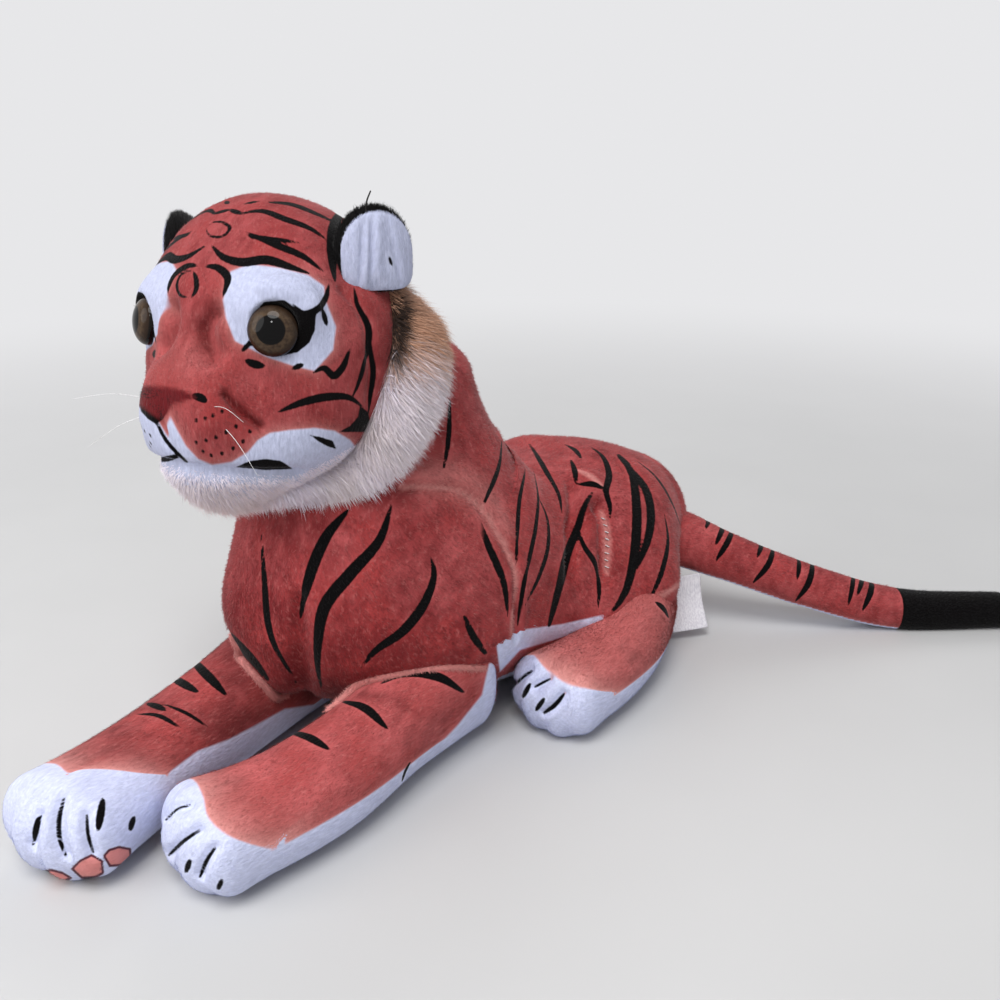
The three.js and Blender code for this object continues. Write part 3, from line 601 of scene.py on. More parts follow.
# %% Stripes of the head, in pixels of the photograph
face_stripes = [
    ([(211, 245), (223, 257), (239, 262), (267, 260), (290, 267), (311, 274)], 3.0),
    ([(245, 232), (276, 245), (304, 257), (324, 272)], 2.2),
    ([(238, 214), (262, 211), (285, 219), (311, 229), (327, 240)], 2.4),
    ([(267, 202), (290, 204), (317, 214), (338, 224)], 3.0),
    ([(243, 204), (260, 201)], 1.6), ([(212, 214), (232, 209)], 1.8),
    ([(204, 266), (216, 267), (227, 276), (223, 297)], 2.4),
    ([(171, 239), (191, 234)], 1.8),
    ([(245, 360), (254, 364), (265, 366)], 2.4), ([(292, 369), (304, 364)], 1.6),
    ([(313, 373), (324, 368), (334, 376), (340, 371), (350, 349)], 2.2),
    ([(354, 287), (357, 304), (368, 327), (366, 355), (357, 387), (352, 398)], 2.2),
    ([(368, 327), (370, 350), (373, 371), (370, 398), (368, 416)], 1.8),
    ([(278, 412), (304, 402), (327, 397), (350, 398), (363, 407)], 2.4),
    ([(292, 304), (304, 314), (318, 309), (326, 297), (329, 284)], 2.2),
    ([(322, 308), (327, 326)], 1.8), ([(251, 342), (241, 352)], 1.4),
    ([(345, 207), (336, 222), (333, 245), (333, 268), (335, 282)], 4.2),
]
face_middle_stripes = [
    ([(208, 226), (214, 222), (224, 223), (230, 228), (226, 234), (215, 237), (208, 234), (206, 228)], 1.1),
    ([(193, 271), (196, 279), (196, 290), (191, 298)], 1.9),
    ([(191, 271), (182, 274), (177, 284), (180, 295), (189, 298)], 1.2),
]
muzzle_lines = [
    ([(157, 423), (164, 437), (176, 452), (187, 462)], 0.75), ([(157, 460), (166, 459), (178, 456)], 1.3),
    ([(193, 396), (199, 397), (206, 401)], 2.2)]
face_patches = [
    [(339, 432), (350, 426), (358, 417), (360, 406), (368, 412), (370, 422), (367, 432)],
    [(310, 435), (320, 437), (333, 441), (336, 449), (327, 446), (318, 441)],
    [(236, 467), (250, 461), (266, 459), (281, 461), (293, 469), (266, 470)],
    [(244, 346), (249, 340), (252, 316), (264, 302), (284, 300), (294, 307), (305, 316), (316, 314),
     (315, 330),
     (309, 343), (298, 352), (281, 356), (265, 354), (253, 346)],
    [(138, 401), (164, 401), (168, 408), (164, 418), (157, 425), (147, 420), (138, 410)]]
muzzle_dots = [
    (196, 421), (205, 419), (213, 416), (222, 412), (196, 443), (206, 441), (216, 438), (226, 433),
    (236, 427),
    (203, 452), (211, 456), (222, 454), (233, 449), (243, 442), (250, 432)]
eye_patch = [
    (230, 272), (249, 264), (281, 268), (308, 275), (324, 286), (325, 299), (336, 327), (333, 350),
    (315, 371),
    (294, 366), (267, 357), (249, 348), (235, 341), (226, 318), (223, 300)]
lower_face = [
    (136, 398), (150, 400), (160, 406), (169, 414), (176, 428), (186, 446), (198, 459), (212, 465),
    (232, 462),
    (248, 452), (258, 440), (270, 433), (290, 430), (315, 428), (335, 431), (350, 440), (362, 455),
    (420, 470),
    (420, 580), (100, 580), (100, 398)]
nose_top = [(126, 386), (150, 386), (168, 387), (185, 391), (196, 397), (186, 401), (173, 404), (167, 414),
            (160, 420), (140, 406), (126, 404)]
fur_edge = [(140, 459), (161, 462), (181, 466), (210, 469), (237, 472), (265, 474), (294, 473), (322, 462),
            (346, 449), (365, 439), (381, 406)]

# %% Stripes of the body, legs and tail, in pixels of the photograph
body_stripes = [
    ([(350, 508), (328, 534), (309, 578), (300, 619)], 3.9),
    ([(392, 503), (380, 539), (350, 574), (324, 608), (318, 639), (318, 671), (322, 690)], 4.2),
    ([(431, 554), (434, 574), (426, 600), (404, 630), (372, 654), (361, 668)], 3.7),
    ([(476, 513), (489, 547), (504, 584), (508, 618)], 2.9), ([(463, 613), (472, 634), (489, 658)], 2.7),
    ([(450, 395), (448, 443), (443, 472)], 2.3), ([(502, 439), (500, 461), (482, 508)], 2.4),
    ([(523, 448), (525, 459), (519, 504), (517, 539), (516, 567)], 2.4),
    ([(533, 468), (538, 496), (536, 525), (529, 560), (522, 595), (517, 628)], 2.5),
    ([(538, 496), (547, 518), (548, 546), (540, 574), (523, 609)], 2.6),
    ([(528, 442), (536, 454), (547, 473), (559, 496), (562, 514)], 2.8),
    ([(588, 445), (603, 457), (609, 476), (606, 490), (610, 507), (610, 520)], 3.0),
    ([(570, 458), (574, 468), (576, 485)], 2.4), ([(578, 485), (592, 484), (605, 489)], 2.6),
    ([(578, 529), (584, 546), (595, 563), (599, 588), (598, 609)], 2.8),
    ([(664, 512), (668, 539), (661, 574), (646, 607)], 2.8),
    ([(636, 460), (655, 476), (672, 503), (681, 527)], 3.0),
    ([(657, 604), (668, 616)], 2.4), ([(564, 444), (575, 450), (582, 460)], 2.6),
]
chest_stripes = [([(261, 530), (264, 574), (272, 639), (298, 686)], 2.9)]
creased_stripes = [
    ([(592, 493), (584, 507), (578, 527), (570, 546), (559, 588), (549, 626)], 2.5),
    ([(629, 467), (646, 490), (651, 518), (648, 539), (636, 569)], 2.5),
    ([(618, 455), (629, 467), (636, 499), (636, 539), (632, 569), (623, 597), (612, 612)], 3.0),
    ([(229, 633), (243, 649), (256, 664), (268, 680)], 2.4)]
BODY_MM_PER_PX = 0.36
leg_stripes = {
    "foreleg_left": [
        ([(380, 684), (400, 675), (415, 673), (441, 678), (465, 693)], 3.6),
        ([(341, 701), (361, 706), (388, 729)], 3.2), ([(287, 731), (308, 737), (330, 750)], 3.0),
        ([(258, 748), (267, 740)], 1.8), ([(402, 782), (405, 772), (411, 761)], 2.2)],
    "foreleg_right": [
        ([(188, 656), (205, 673), (227, 696)], 3.4), ([(168, 675), (182, 683), (199, 693)], 3.2),
        ([(146, 703), (156, 706), (166, 711)], 2.6), ([(136, 714), (156, 715), (181, 728)], 1.8),
        ([(164, 704), (186, 713), (208, 727)], 1.4), ([(233, 633), (249, 649), (266, 667), (276, 682)], 3.0)],
    "hindleg_left": [([(655, 602), (664, 609), (669, 618)], 3.2)],
}
toe_grooves = {
    "foreleg_left": [
        ([(169, 855), (184, 841), (200, 830)], 0.6), ([(200, 877), (207, 860), (215, 848)], 0.7),
        ([(166, 820), (178, 809), (190, 805)], 0.2)],
    "foreleg_right": [
        ([(64, 798), (59, 821), (60, 840), (66, 856)], 1.0), ([(87, 815), (88, 834), (93, 852)], 0.6),
        ([(33, 845), (37, 832), (41, 815)], 0.5)],
    "hindleg_left": [
        ([(516, 684), (523, 677), (532, 671)], 0.4), ([(535, 687), (542, 683), (550, 679)], 0.3),
        ([(544, 713), (555, 705), (564, 694)], 0.9)],
}
claw_marks = {
    "foreleg_left": [([(186, 872), (190, 860)], 1.2), ([(218, 889), (222, 880)], 1.0)],
    "foreleg_right": [
        ([(34, 838), (38, 818)], 1.3), ([(103, 799), (101, 812), (98, 830)], 2.0),
        ([(130, 830), (134, 817)], 1.3)],
    "hindleg_left": [([(523, 697), (530, 684)], 1.0), ([(536, 710), (544, 699)], 1.0)],
}
paw_pads = [[(72, 869), (80, 861), (92, 855), (102, 861), (103, 873), (96, 877), (82, 878)],
            [(104, 856), (109, 850), (119, 847), (130, 849), (131, 859), (121, 865), (110, 866)],
            [(40, 873), (51, 870), (63, 873), (71, 878), (62, 882), (46, 880)]]
outer_lining = [(283, 856), (342, 817), (382, 793), (424, 761), (458, 725), (482, 695), (489, 664),
                (525, 645),
                (545, 760), (420, 875), (280, 905)]
paw_edges = {
    "foreleg_left": [(176, 784), (190, 778), (203, 796), (207, 815), (224, 833), (250, 844), (275, 850),
                     (292, 853)],
    "foreleg_right": [(60, 778), (75, 771), (96, 769), (115, 770), (140, 773), (166, 775)],
    "hindleg_left": [(534, 655), (545, 668), (566, 683), (594, 690), (618, 693)],
}
tail_stripes = [
    ([(711, 508), (709, 520), (705, 530)], 2.2), ([(726, 516), (722, 530), (715, 546)], 2.4),
    ([(736, 522), (727, 543), (715, 562)], 2.6), ([(764, 536), (761, 547), (757, 558)], 2.2),
    ([(775, 542), (769, 563), (752, 584)], 2.6), ([(798, 554), (799, 566), (797, 580)], 2.2),
    ([(811, 555), (812, 570), (808, 584), (795, 602)], 2.8), ([(854, 568), (852, 588), (848, 606)], 2.2),
    ([(864, 571), (861, 584), (857, 596)], 2.2), ([(872, 572), (871, 590), (862, 612)], 2.8),
]
body_seams = [
    [(400, 487), (430, 487), (455, 490), (476, 504), (492, 524), (505, 548), (514, 572), (513, 600),
     (511, 634)],
]
shoulder_seams = {
    "left": [(326, 712), (332, 700), (345, 690), (366, 680), (390, 675), (430, 669), (484, 668)],
    "right": [(219, 640), (236, 656), (256, 679), (284, 709)]}
inner_lining = [(318, 704), (285, 709), (258, 724), (230, 739), (198, 751), (171, 771), (150, 800),
                (200, 830),
                (330, 760), (345, 712)]
thigh_seam = [(640, 610), (652, 601), (668, 592), (684, 580)]
dart_seam = [(570, 560), (576, 585), (583, 614)]
pucker_fold = [(574, 484), (577, 505), (575, 528)]
belly_edge = [(496, 640), (507, 632), (563, 624), (603, 615), (603, 628), (563, 637), (520, 650), (500, 672)]
hip_pucker = [(601, 512), (606, 528), (607, 545), (606, 574)]


def own_mirror(tube, points):
    """Reflection through a tube's own upright middle plane, at each point's nearest section."""
    near = np.linalg.norm(points[:, None] - tube.centre[None], axis=2).argmin(1)
    across = np.einsum("ij,ij->i", points - tube.centre[near], tube.across[near])
    return points - 2 * across[:, None] * tube.across[near]


def unseen(skin, line, half):
    """The longest run of a line where the skin faces away from the camera, or nothing."""
    found = [skin.find_tree().find_nearest(Vector(point)) for point in line]
    places = np.array([each[0] for each in found])
    away = np.array([each[1] for each in found]) @ camera_ahead > 0.05
    edges = np.flatnonzero(np.diff(np.concatenate([[0], away, [0]])))
    runs = edges.reshape(-1, 2)
    if not len(runs):
        return None
    first, last = runs[np.argmax(runs[:, 1] - runs[:, 0])]
    return (places[first:last], half[first:last]) if last - first > 2 else None


def in_mirror(skin, tube, strokes):
    """The strokes' mirror images through their tube's middle plane, laid on the side turned from the
    camera."""
    made = [unseen(skin, own_mirror(tube, line), half) for line, half in strokes]
    return [stroke for stroke in made if stroke is not None]


def in_head_mirror(strokes):
    """The same through the head's own middle plane."""
    return [(head_skin.snap(to_world(mirror(to_head(line)))), half) for line, half in strokes]


# %% [markdown]
# Needle and stuffing leave their own relief: seams pull the cloth in, the brows and the muzzle stand proud,
# and the bridge of the nose has two dimples. Each is a bell curve of the distance to a point or a stroke,
# pushed along the surface's normal.

# %% Relief of the face
def bell(points, at, width):
    """A bump of height one at a point: a bell curve of the distance over the width."""
    return np.exp(-np.sum((points - at) ** 2, axis=1) / width**2)


EYE_SHARES, EYE_LOOK = np.array([0.545, -0.62, 0.14]), np.array([0.5, -0.86, 0.16])
EYE_LOOK = EYE_LOOK / np.linalg.norm(EYE_LOOK)
EYE_RADIUS = 7.5
# Place and width in shares of the head's half width, then height in millimetres
face_bumps = [
    ((0.5, -0.68, 0.34), 0.26, -1.5), ((0.72, -0.52, 0.24), 0.11, 2.2), ((0.36, -0.76, 0.34), 0.12, 0.3),
    ((0.62, -0.62, -0.1), 0.12, 0.8), ((0, -1.19, -0.16), 0.14, -0.8), ((0, -1.22, -0.38), 0.16, -2.2),
    ((0, -0.62, -0.95), 0.36, 5.5)]
face_dent = [(210, 312), (203, 326), (206, 342), (213, 353)]
MUZZLE_BLUNT_FROM, MUZZLE_BLUNT = -0.92, 0.62
brow_puff = [(264, 284), (284, 285), (304, 292), (312, 304)]
SOCKET_RADIUS, SOCKET_SLOPE, SOCKET_LIP = 7.3, 1.9, 1.3
EYE_SINK, EYE_RAISE = -1.9, 1.0
EAR_SEAT, EAR_SEAT_WIDTH, EAR_SEAT_DEPTH = (350, 270), 6.5, 3.4


def eye_seat(sign):
    """Middle of an eye's rim and the way it looks, in the head's own frame."""
    look = EYE_LOOK * [sign, 1, 1]
    return EYE_SHARES * HEAD_HALF_WIDTH * [sign, 1, 1] - look * EYE_SINK + [0, 0, EYE_RAISE], look


def sunk_round_eyes(points):
    """Pushes cloth back along each eye's look until it lies below a cone that opens outward from the rim."""
    for sign in (1, -1):
        seat, look = eye_seat(sign)
        offset = points - seat
        height = offset @ look
        off_axis = np.linalg.norm(offset - height[:, None] * look, axis=1)
        limit = SOCKET_LIP + SOCKET_SLOPE * np.maximum(off_axis - SOCKET_RADIUS, 0)
        excess = np.where(off_axis < 3 * SOCKET_RADIUS, np.maximum(height - limit, 0), 0)
        points = points - excess[:, None] * look
    return points


def face_relief(skin):
    """Sum of the bumps on both halves, less the creases round the muzzle, mouth and cheek."""
    points = to_head(skin.points)
    folded = points * np.where(points[:, :1] < 0, [-1.0, 1, 1], [1.0, 1, 1])
    height = sum(tall * bell(folded, np.array(at) * HEAD_HALF_WIDTH, width * HEAD_HALF_WIDTH)
                 for at, width, tall in face_bumps)
    muzzle = strokes_on(skin, [([(226, 394), (236, 406), (248, 417), (260, 426)], 0.6)])
    middle = stroke_field(skin.points, strokes_on(skin, [([(158, 424), (166, 440), (180, 457)], 0.4)]), 10)
    mouth = strokes_on(skin, [([(160, 460), (181, 465), (210, 469), (237, 472), (265, 474), (296, 473)],
                               0.6)])
    cheek = strokes_on(skin, [([(345, 290), (358, 304), (368, 327), (371, 350), (373, 372), (370, 398)],
                               0.6)])
    dent, puff = strokes_on(skin, [(face_dent, 1.0)]), strokes_on(skin, [(brow_puff, 3.0)])
    for strokes, depth, width in ((muzzle, 3.2, 1.3), (mouth, 2.2, 2.0), (cheek, 1.6, 2.0), (dent, 5.0, 3.2)):
        field = stroke_field(skin.points, strokes + in_head_mirror(strokes), 10)
        height = height + groove(field, depth, width)
    height = height + groove(middle, 1.4, 1.4)
    height = height - EAR_SEAT_DEPTH * bell(skin.points, skin.cast(EAR_SEAT), EAR_SEAT_WIDTH)
    return height - groove(stroke_field(skin.points, puff, 10), 2.2, 3.0)


def blunted(points):
    """Shortens what reaches past a plane ahead of the face, so that the muzzle ends in a flatter front."""
    limit = MUZZLE_BLUNT_FROM * HEAD_HALF_WIDTH
    ahead = np.minimum(points[:, 1] - limit, 0)
    return points - np.stack([ahead * 0, ahead * (1 - MUZZLE_BLUNT), ahead * 0], axis=1)


head_skin.reshape(to_world(blunted(to_head(head_skin.points))))
head_skin.reshape(head_skin.points + head_skin.normals * face_relief(head_skin)[:, None])
head_skin.reshape(to_world(sunk_round_eyes(to_head(head_skin.points))))


# %% Relief of the body and legs
def ripple(points, wave):
    """Slow hollows and swells of loose stuffing: sines of the place with unequal waves."""
    x, y, z = points.T
    return (np.sin(x / wave + 0.6 * np.sin(y / wave)) * np.sin(y / (1.3 * wave) + 1.1)
            * np.sin(z / (0.9 * wave) + 0.4))


# Place in shares of half width, length and neck height, then width and height in millimetres
body_bumps = [((1.0, -0.53, 0.34), 22.0, 7.0), ((0.62, -0.72, 0.42), 18.0, 3.0),
              ((0.95, 0.2, 0.3), 24.0, 2.0)]
# Swells placed by a pixel: the right shoulder, the left haunch over its thigh, and the cloth inside the
# pucker
body_swells = [((246, 616), 18.0, 5.5), ((650, 590), 17.0, 8.0), ((591, 512), 6.0, 3.2),
               ((284, 672), 13.0, 7.5),
               ((602, 612), 13.0, 6.0), ((514, 440), 15.0, 4.0), ((591, 478), 5.0, 2.4)]
chest_fold = [(297, 600), (299, 630), (303, 664), (311, 694)]
hip_fold = [(600, 502), (588, 512), (577, 528), (573, 557), (571, 577)]


def body_relief(skin):
    """Shoulder and haunch swells on both sides, seams drawn in, the mended pucker at the left hip, and
    ripples."""
    folded = np.abs(skin.points * [1, 0, 0]) + skin.points * [0, 1, 1]
    scale = np.array([BODY_HALF_WIDTH, BODY_LENGTH, NECK_HEIGHT])
    height = sum(tall * bell(folded, np.array(at) * scale, width) for at, width, tall in body_bumps)
    for pixel, width, tall in body_swells:
        height = height + tall * bell(skin.points, skin.cast(pixel), width)
    seams = strokes_on(skin, [(pixels, 0.5) for pixels in body_seams])
    seams += in_mirror(skin, body_tube, seams)
    pucker = strokes_on(skin, [(hip_pucker, 0.8), (pucker_fold, 0.8)])
    darts = strokes_on(skin, [(dart_seam, 0.4), (thigh_seam, 0.4)])
    height = height + groove(stroke_field(skin.points, seams, 10), 1.5, 1.5)
    height += 0.8 * np.exp(-((stroke_field(skin.points, seams, 14) - 4.0) / 2.2) ** 2)
    height += groove(stroke_field(skin.points, pucker, 16), 3.6, 2.6)
    height += groove(stroke_field(skin.points, pucker, 30), 1.5, 8.0)
    height += groove(stroke_field(skin.points, darts, 10), 1.0, 1.4)
    folds = strokes_on(skin, [(chest_fold, 1.0), (hip_fold, 1.0)])
    height += groove(stroke_field(skin.points, folds, 14), 2.6, 3.2)
    height += groove(np.abs(skin.points[:, 2] - BELLY_SEAM), 0.8, 1.3)
    return height + 0.7 * ripple(skin.points, 15.0)


body_skin.reshape(body_skin.points + body_skin.normals * body_relief(body_skin)[:, None])
PAW_SWELL, TOE_DEPTH, TOE_LOBES = 0.7, 2.2, 0.5


def source_of(name):
    """The leg whose print in the photograph a leg takes: the far hind leg takes the near one's."""
    return "hindleg_left" if name == "hindleg_right" else name


LEG_TUCK_AT, LEG_TUCK_WIDTH, LEG_TUCK = np.array([52.0, -92.0, 14.0]), 30.0, 4.5


def toe_relief(skin, tube, name):
    """A swell over the paw, four shallow lobes across its tip, and a groove along every toe line."""
    offset = skin.points - tube.centre[-1]
    across = offset @ tube.across[-1] / tube.sizes[-1, 0]
    front = np.clip((offset @ tube.ahead[-1] + 10.0) / 14.0, 0, 1)
    lobes = np.cos(4 * np.pi * (across * 0.92 + 0.25))
    relief = front * (PAW_SWELL + TOE_LOBES * lobes)
    toes = strokes_on(leg_skins[source_of(name)], toe_grooves[source_of(name)])
    own = mirror(skin.points) if name == "hindleg_right" else skin.points
    return relief + groove(stroke_field(own, toes, 8), TOE_DEPTH, 1.5)


leg_relief = {name: toe_relief(skin, leg_tubes[name], name) + 0.5 * ripple(skin.points, 11.0)
              for name, skin in leg_skins.items()}
leg_relief["foreleg_left"] -= LEG_TUCK * bell(leg_skins["foreleg_left"].points, LEG_TUCK_AT, LEG_TUCK_WIDTH)
for name, skin in leg_skins.items():
    skin.reshape(skin.points + skin.normals * leg_relief[name][:, None])


def rest_on_floor(points, depth=0.4):
    """Flattens what would sink below the floor, with a soft turn into the flat."""
    height = points[:, 2]
    soft = np.where(height < depth, depth * np.exp(np.minimum(height - depth, 0) / (2 * depth)) * 0.5, height)
    return np.concatenate([points[:, :2], np.where(height < depth, soft, height)[:, None]], axis=1)


for skin in [body_skin, tail_skin, *leg_skins.values()]:
    skin.reshape(rest_on_floor(skin.points))

# %% [markdown]
# Colour is decided once for any point of the toy, so that the cloth and the pile standing on it agree. Three
# fields say where print is black, where the cloth is white, and how deep the red is, painted shade in folds
# and creases included.

# %% Palette
def linear(red, green, blue):
    """Light values of a screen colour: the sRGB curve taken off."""
    value = np.array([red, green, blue]) / 255.0
    return np.where(value < 0.04045, value / 12.92, ((value + 0.055) / 1.055) ** 2.4)


RED, DEEP_RED, CORAL = linear(166, 63, 63), linear(118, 38, 41), linear(196, 94, 95)
FLECK, PALE_NAP = linear(210, 130, 126), linear(224, 156, 150)
WHITE, BLACK, TAN = linear(220, 225, 253), linear(8, 6, 7), linear(200, 152, 124)
CREAM, SNOW = linear(240, 226, 224), linear(244, 236, 250)
MAROON, DARK_MAROON = linear(98, 26, 30), linear(20, 9, 11)
PEACH, PAD_RIM = linear(222, 142, 138), linear(92, 50, 62)


def blend_colours(base, other, share):
    share = np.clip(share, 0, 1)[:, None]
    return base * (1 - share) + other * share


def step_down(field, softness):
    """One well below zero, none well above it, and a straight ramp between."""
    return np.clip(0.5 - field / (2 * softness), 0, 1)


# %% [markdown]
# Handling crushes the nap. Where it lies over it looks deep, and where it stands up it looks pale.

# %% Crushed nap
NAP_LATTICE = np.random.default_rng(7).uniform(-1, 1, (64, 64, 64))


def mottle(points, wave):
    """Smooth random swells: a fixed value at each corner of a lattice of boxes, blended across each box."""
    place = points / wave
    corner = np.floor(place).astype(int)
    share = place - corner
    share = share**2 * (3 - 2 * share)
    total = np.zeros(len(points))
    for offset in np.ndindex(2, 2, 2):
        i, j, k = (corner + offset).T % len(NAP_LATTICE)
        total += NAP_LATTICE[i, j, k] * np.prod(np.where(offset, share, 1 - share), axis=1)
    return total


def crushed(points):
    """How far the nap lies over or stands up, about -1 to 1: broad patches, smaller ones, and fine
    streaks."""
    return (0.45 * mottle(points, [15.0, 19.0, 17.0]) + 0.5 * mottle(points, [4.4, 6.0, 6.0])
            + 0.65 * mottle(points, [1.5, 3.6, 3.6]))


# %% Fields of the body
body_ink = strokes_on(body_skin, body_stripes)
body_ink += in_mirror(body_skin, body_tube, body_ink + strokes_on(body_skin, creased_stripes[:3]))
body_ink += strokes_on(body_skin, chest_stripes)
seam_lines = strokes_on(body_skin, [(pixels, 0.8) for pixels in (*body_seams, thigh_seam)])
seam_lines += in_mirror(body_skin, body_tube, seam_lines)
pucker_lines = strokes_on(body_skin, [(hip_pucker, 1.6), ([(578, 470), (590, 476), (603, 486)], 1.2)])
fold_lines = strokes_on(body_skin, [(chest_fold, 1.0), (hip_fold, 1.0)])
neck_lines = strokes_on(body_skin, [([(420, 478), (455, 481), (484, 497), (505, 528)], 5.0)])
neck_lines += in_mirror(body_skin, body_tube, neck_lines)
PLAIN_PAD = 9.0


def body_fields(points, normals):
    """Ink, white, depth of red, pale nap and pad: the low chest is deepest, partly by painted shade, folds
    are painted shade, and nap parts pale at the seams, with painted highlight on the neck band and the hip
    ridge.
    """
    ink = np.minimum(stroke_field(points, body_ink),
                     drawn_field(points, normals, creased_stripes, BODY_MM_PER_PX))
    folded = np.abs(points * [1, 0, 0]) + points * [0, 1, 1]
    edge = outline_field(pixels_of(folded), belly_edge) * 0.4
    edge = np.where(points[:, 1] < 0.35 * BODY_LENGTH, edge, FAR)
    white = np.minimum(points[:, 2] - BELLY_SEAM, np.where(points[:, 2] < 42, edge, FAR))
    # The low front of the chest is painted a deeper red: partly the cloth's own deeper red, partly painted
    # shade under the head.
    deep_red_and_shade = 0.52 + 0.8 * np.clip((-points[:, 1] - 40) / 50, 0, 1) * np.clip((80 - points[:, 2]) / 45, 0, 1)
    pale = 0.75 * np.exp(-(np.maximum(stroke_field(points, seam_lines, 8), 0) / 0.9) ** 2)
    # Pale along the mended pucker, where nap parts, and on the pinched ridge beside it, which is partly a
    # painted highlight.
    pale = np.maximum(pale, 0.6 * np.exp(-(np.maximum(stroke_field(points, pucker_lines, 8), 0) / 0.8) ** 2))
    # Folds at the chest and the hip are painted darker: painted shade.
    deep_red_and_shade = deep_red_and_shade + 0.5 * np.exp(-(np.maximum(stroke_field(points, fold_lines, 14), 0) / 2.6) ** 2)
    # A broad pale band above the neck seam: partly nap brushed lighter, partly a painted highlight.
    pale = np.maximum(pale, 0.28 * np.exp(-(np.maximum(stroke_field(points, neck_lines, 16), 0) / 5.0) ** 2))
    return ink, white, deep_red_and_shade, pale, np.full(len(points), PLAIN_PAD)


# %% Fields of the legs
leg_folds = {"foreleg_right": [[(134, 713), (148, 705), (166, 711), (180, 722)]],
             "foreleg_left": [[(362, 694), (398, 702), (420, 716)]], "hindleg_left": []}
LINING_SEAMS = {"foreleg_left": (0.7, 0.6, 0.3), "foreleg_right": (-0.35, 0.6, -0.3),
                "hindleg_left": (1.2, 0.6, 0.3), "hindleg_right": (-1.2, 0.6, -0.3)}
PAD_MM_PER_PX = 0.31
drawn_linings = {"foreleg_right": inner_lining, "foreleg_left": outer_lining}


def ellipse_field(pixels, at, radii):
    """About how far outside an ellipse each pixel is, in pixels: scaled radius less one, times the least."""
    return (np.linalg.norm((pixels - at) / radii, axis=1) - 1) * min(radii)


class Paw:
    """A leg's print: stripes, toe lines, claws and pads, and the edge of the white paw."""

    def __init__(self, name):
        source = source_of(name)
        skin, tube = leg_skins[source], leg_tubes[source]
        self.name, self.mirrored = name, name == "hindleg_right"
        self.stripes = strokes_on(skin, leg_stripes[source])
        self.stripes += in_mirror(skin, tube, self.stripes)
        self.toes = toe_grooves[source] + claw_marks[source]
        self.folds = strokes_on(skin, [(pixels, 0.6) for pixels in leg_folds[source]])
        hits = np.array([hit for hit in map(skin.cast,
                                            smooth_rows(paw_edges[source], 24)) if hit is not None])
        self.edge = hits[np.argsort(hits[:, 0])]
        across, height, lean = LINING_SEAMS[name]
        self.seam_at = np.array([across * BODY_HALF_WIDTH, 0, height * LEG_HALF_WIDTH])
        self.seam_normal = np.array([-lean, 0, 1]) / np.hypot(lean, 1)

    def fields(self, points, normals):
        """The paw is white ahead of its edge and below the lining's seam; its orange pales towards the
        paw."""
        own = mirror(points) if self.mirrored else points
        facing = mirror(normals) if self.mirrored else normals
        ink = np.minimum(stroke_field(own, self.stripes), drawn_field(own, facing, self.toes, PAD_MM_PER_PX))
        paw = own[:, 1] - np.interp(own[:, 0], self.edge[:, 0], self.edge[:, 1])
        lining = (points - self.seam_at) @ self.seam_normal
        pale = 0.85 * np.exp(-np.maximum(paw, 0) / 6.0) + 0.3 * np.exp(-np.maximum(lining, 0) / 1.2)
        pad = np.full(len(points), PLAIN_PAD)
        seen, pixels = normals @ camera_ahead < 0, pixels_of(points)
        if self.name == "foreleg_right":
            field = np.min([outline_field(pixels, outline) for outline in paw_pads], axis=0)
            pad = np.where(seen, field * PAD_MM_PER_PX, pad)
        if self.name in drawn_linings:
            drawn = outline_field(pixels, drawn_linings[self.name]) * PAD_MM_PER_PX
            lining = np.where(seen, np.minimum(lining, drawn), lining)
        folds = stroke_field(own, self.folds, 10)
        # The toy's right legs are painted a deeper red than the left ones, and their folds darker still:
        # painted shade.
        deep_red_and_shade = (0.28 if "left" in self.name else 0.9) + 0.5 * np.exp(-(np.maximum(folds, 0) / 2.2) ** 2)
        pale += 0.2 if "hind" in self.name else 0.06
        return ink, np.minimum(paw, lining), deep_red_and_shade, np.clip(pale, 0, 1), pad


paws = {name: Paw(name) for name in leg_tubes}

# %% Fields of the tail and head
tail_ink = strokes_on(tail_skin, tail_stripes)
tail_ink += in_mirror(tail_skin, tail_tube, tail_ink)
TAIL_SEAM = tail_rows[-2][:3]
TAIL_DEEP = 0.45


def tail_fields(points, normals):
    """Stripes, the black tip beyond its seam, and the pale strip below."""
    tip = (TAIL_SEAM - points) @ tail_run
    ink = np.minimum(stroke_field(points, tail_ink), tip)
    near = np.linalg.norm(points[:, None] - tail_tube.centre[None, ::4], axis=2).argmin(1)
    down = points[:, 2] - tail_tube.centre[::4][near][:, 2] + 0.74 * tail_tube.sizes[::4][near][:, 2]
    pale = 0.3 * np.exp(-np.maximum(down, 0))
    return ink, down, np.full(len(points), TAIL_DEEP), pale, np.full(len(points), PLAIN_PAD)


back_arcs = [
    [(-0.5, 0.7, 0.55), (0, 0.82, 0.68), (0.5, 0.7, 0.55)],
    [(-0.62, 0.8, 0.25), (0, 0.98, 0.35), (0.62, 0.8, 0.25)],
    [(-0.45, 0.35, 0.9), (0, 0.42, 0.98), (0.45, 0.35, 0.9)]]
face_ink = strokes_on(head_skin, face_stripes)
face_ink += in_head_mirror(face_ink)
face_ink += strokes_on(head_skin, face_middle_stripes)
for arc in back_arcs:
    arc_line = head_skin.snap(to_world(smooth_rows(np.array(arc) * HEAD_HALF_WIDTH, 30)))
    face_ink.append((arc_line, 1.5 * np.sin(np.pi * np.linspace(0.05, 0.95, 30)) ** 0.5))
crease_lines = strokes_on(head_skin, [([(228, 397), (234, 403), (246, 415), (259, 426)], 0.7),
                                      (face_dent, 1.6)])
crease_lines += in_head_mirror(crease_lines)
dots = [hit for hit in map(head_skin.cast, muzzle_dots) if hit is not None]
dot_ink = [(np.stack([dot, dot + [0.1, 0, 0.4]]), np.array([0.5, 0.5])) for dot in dots]
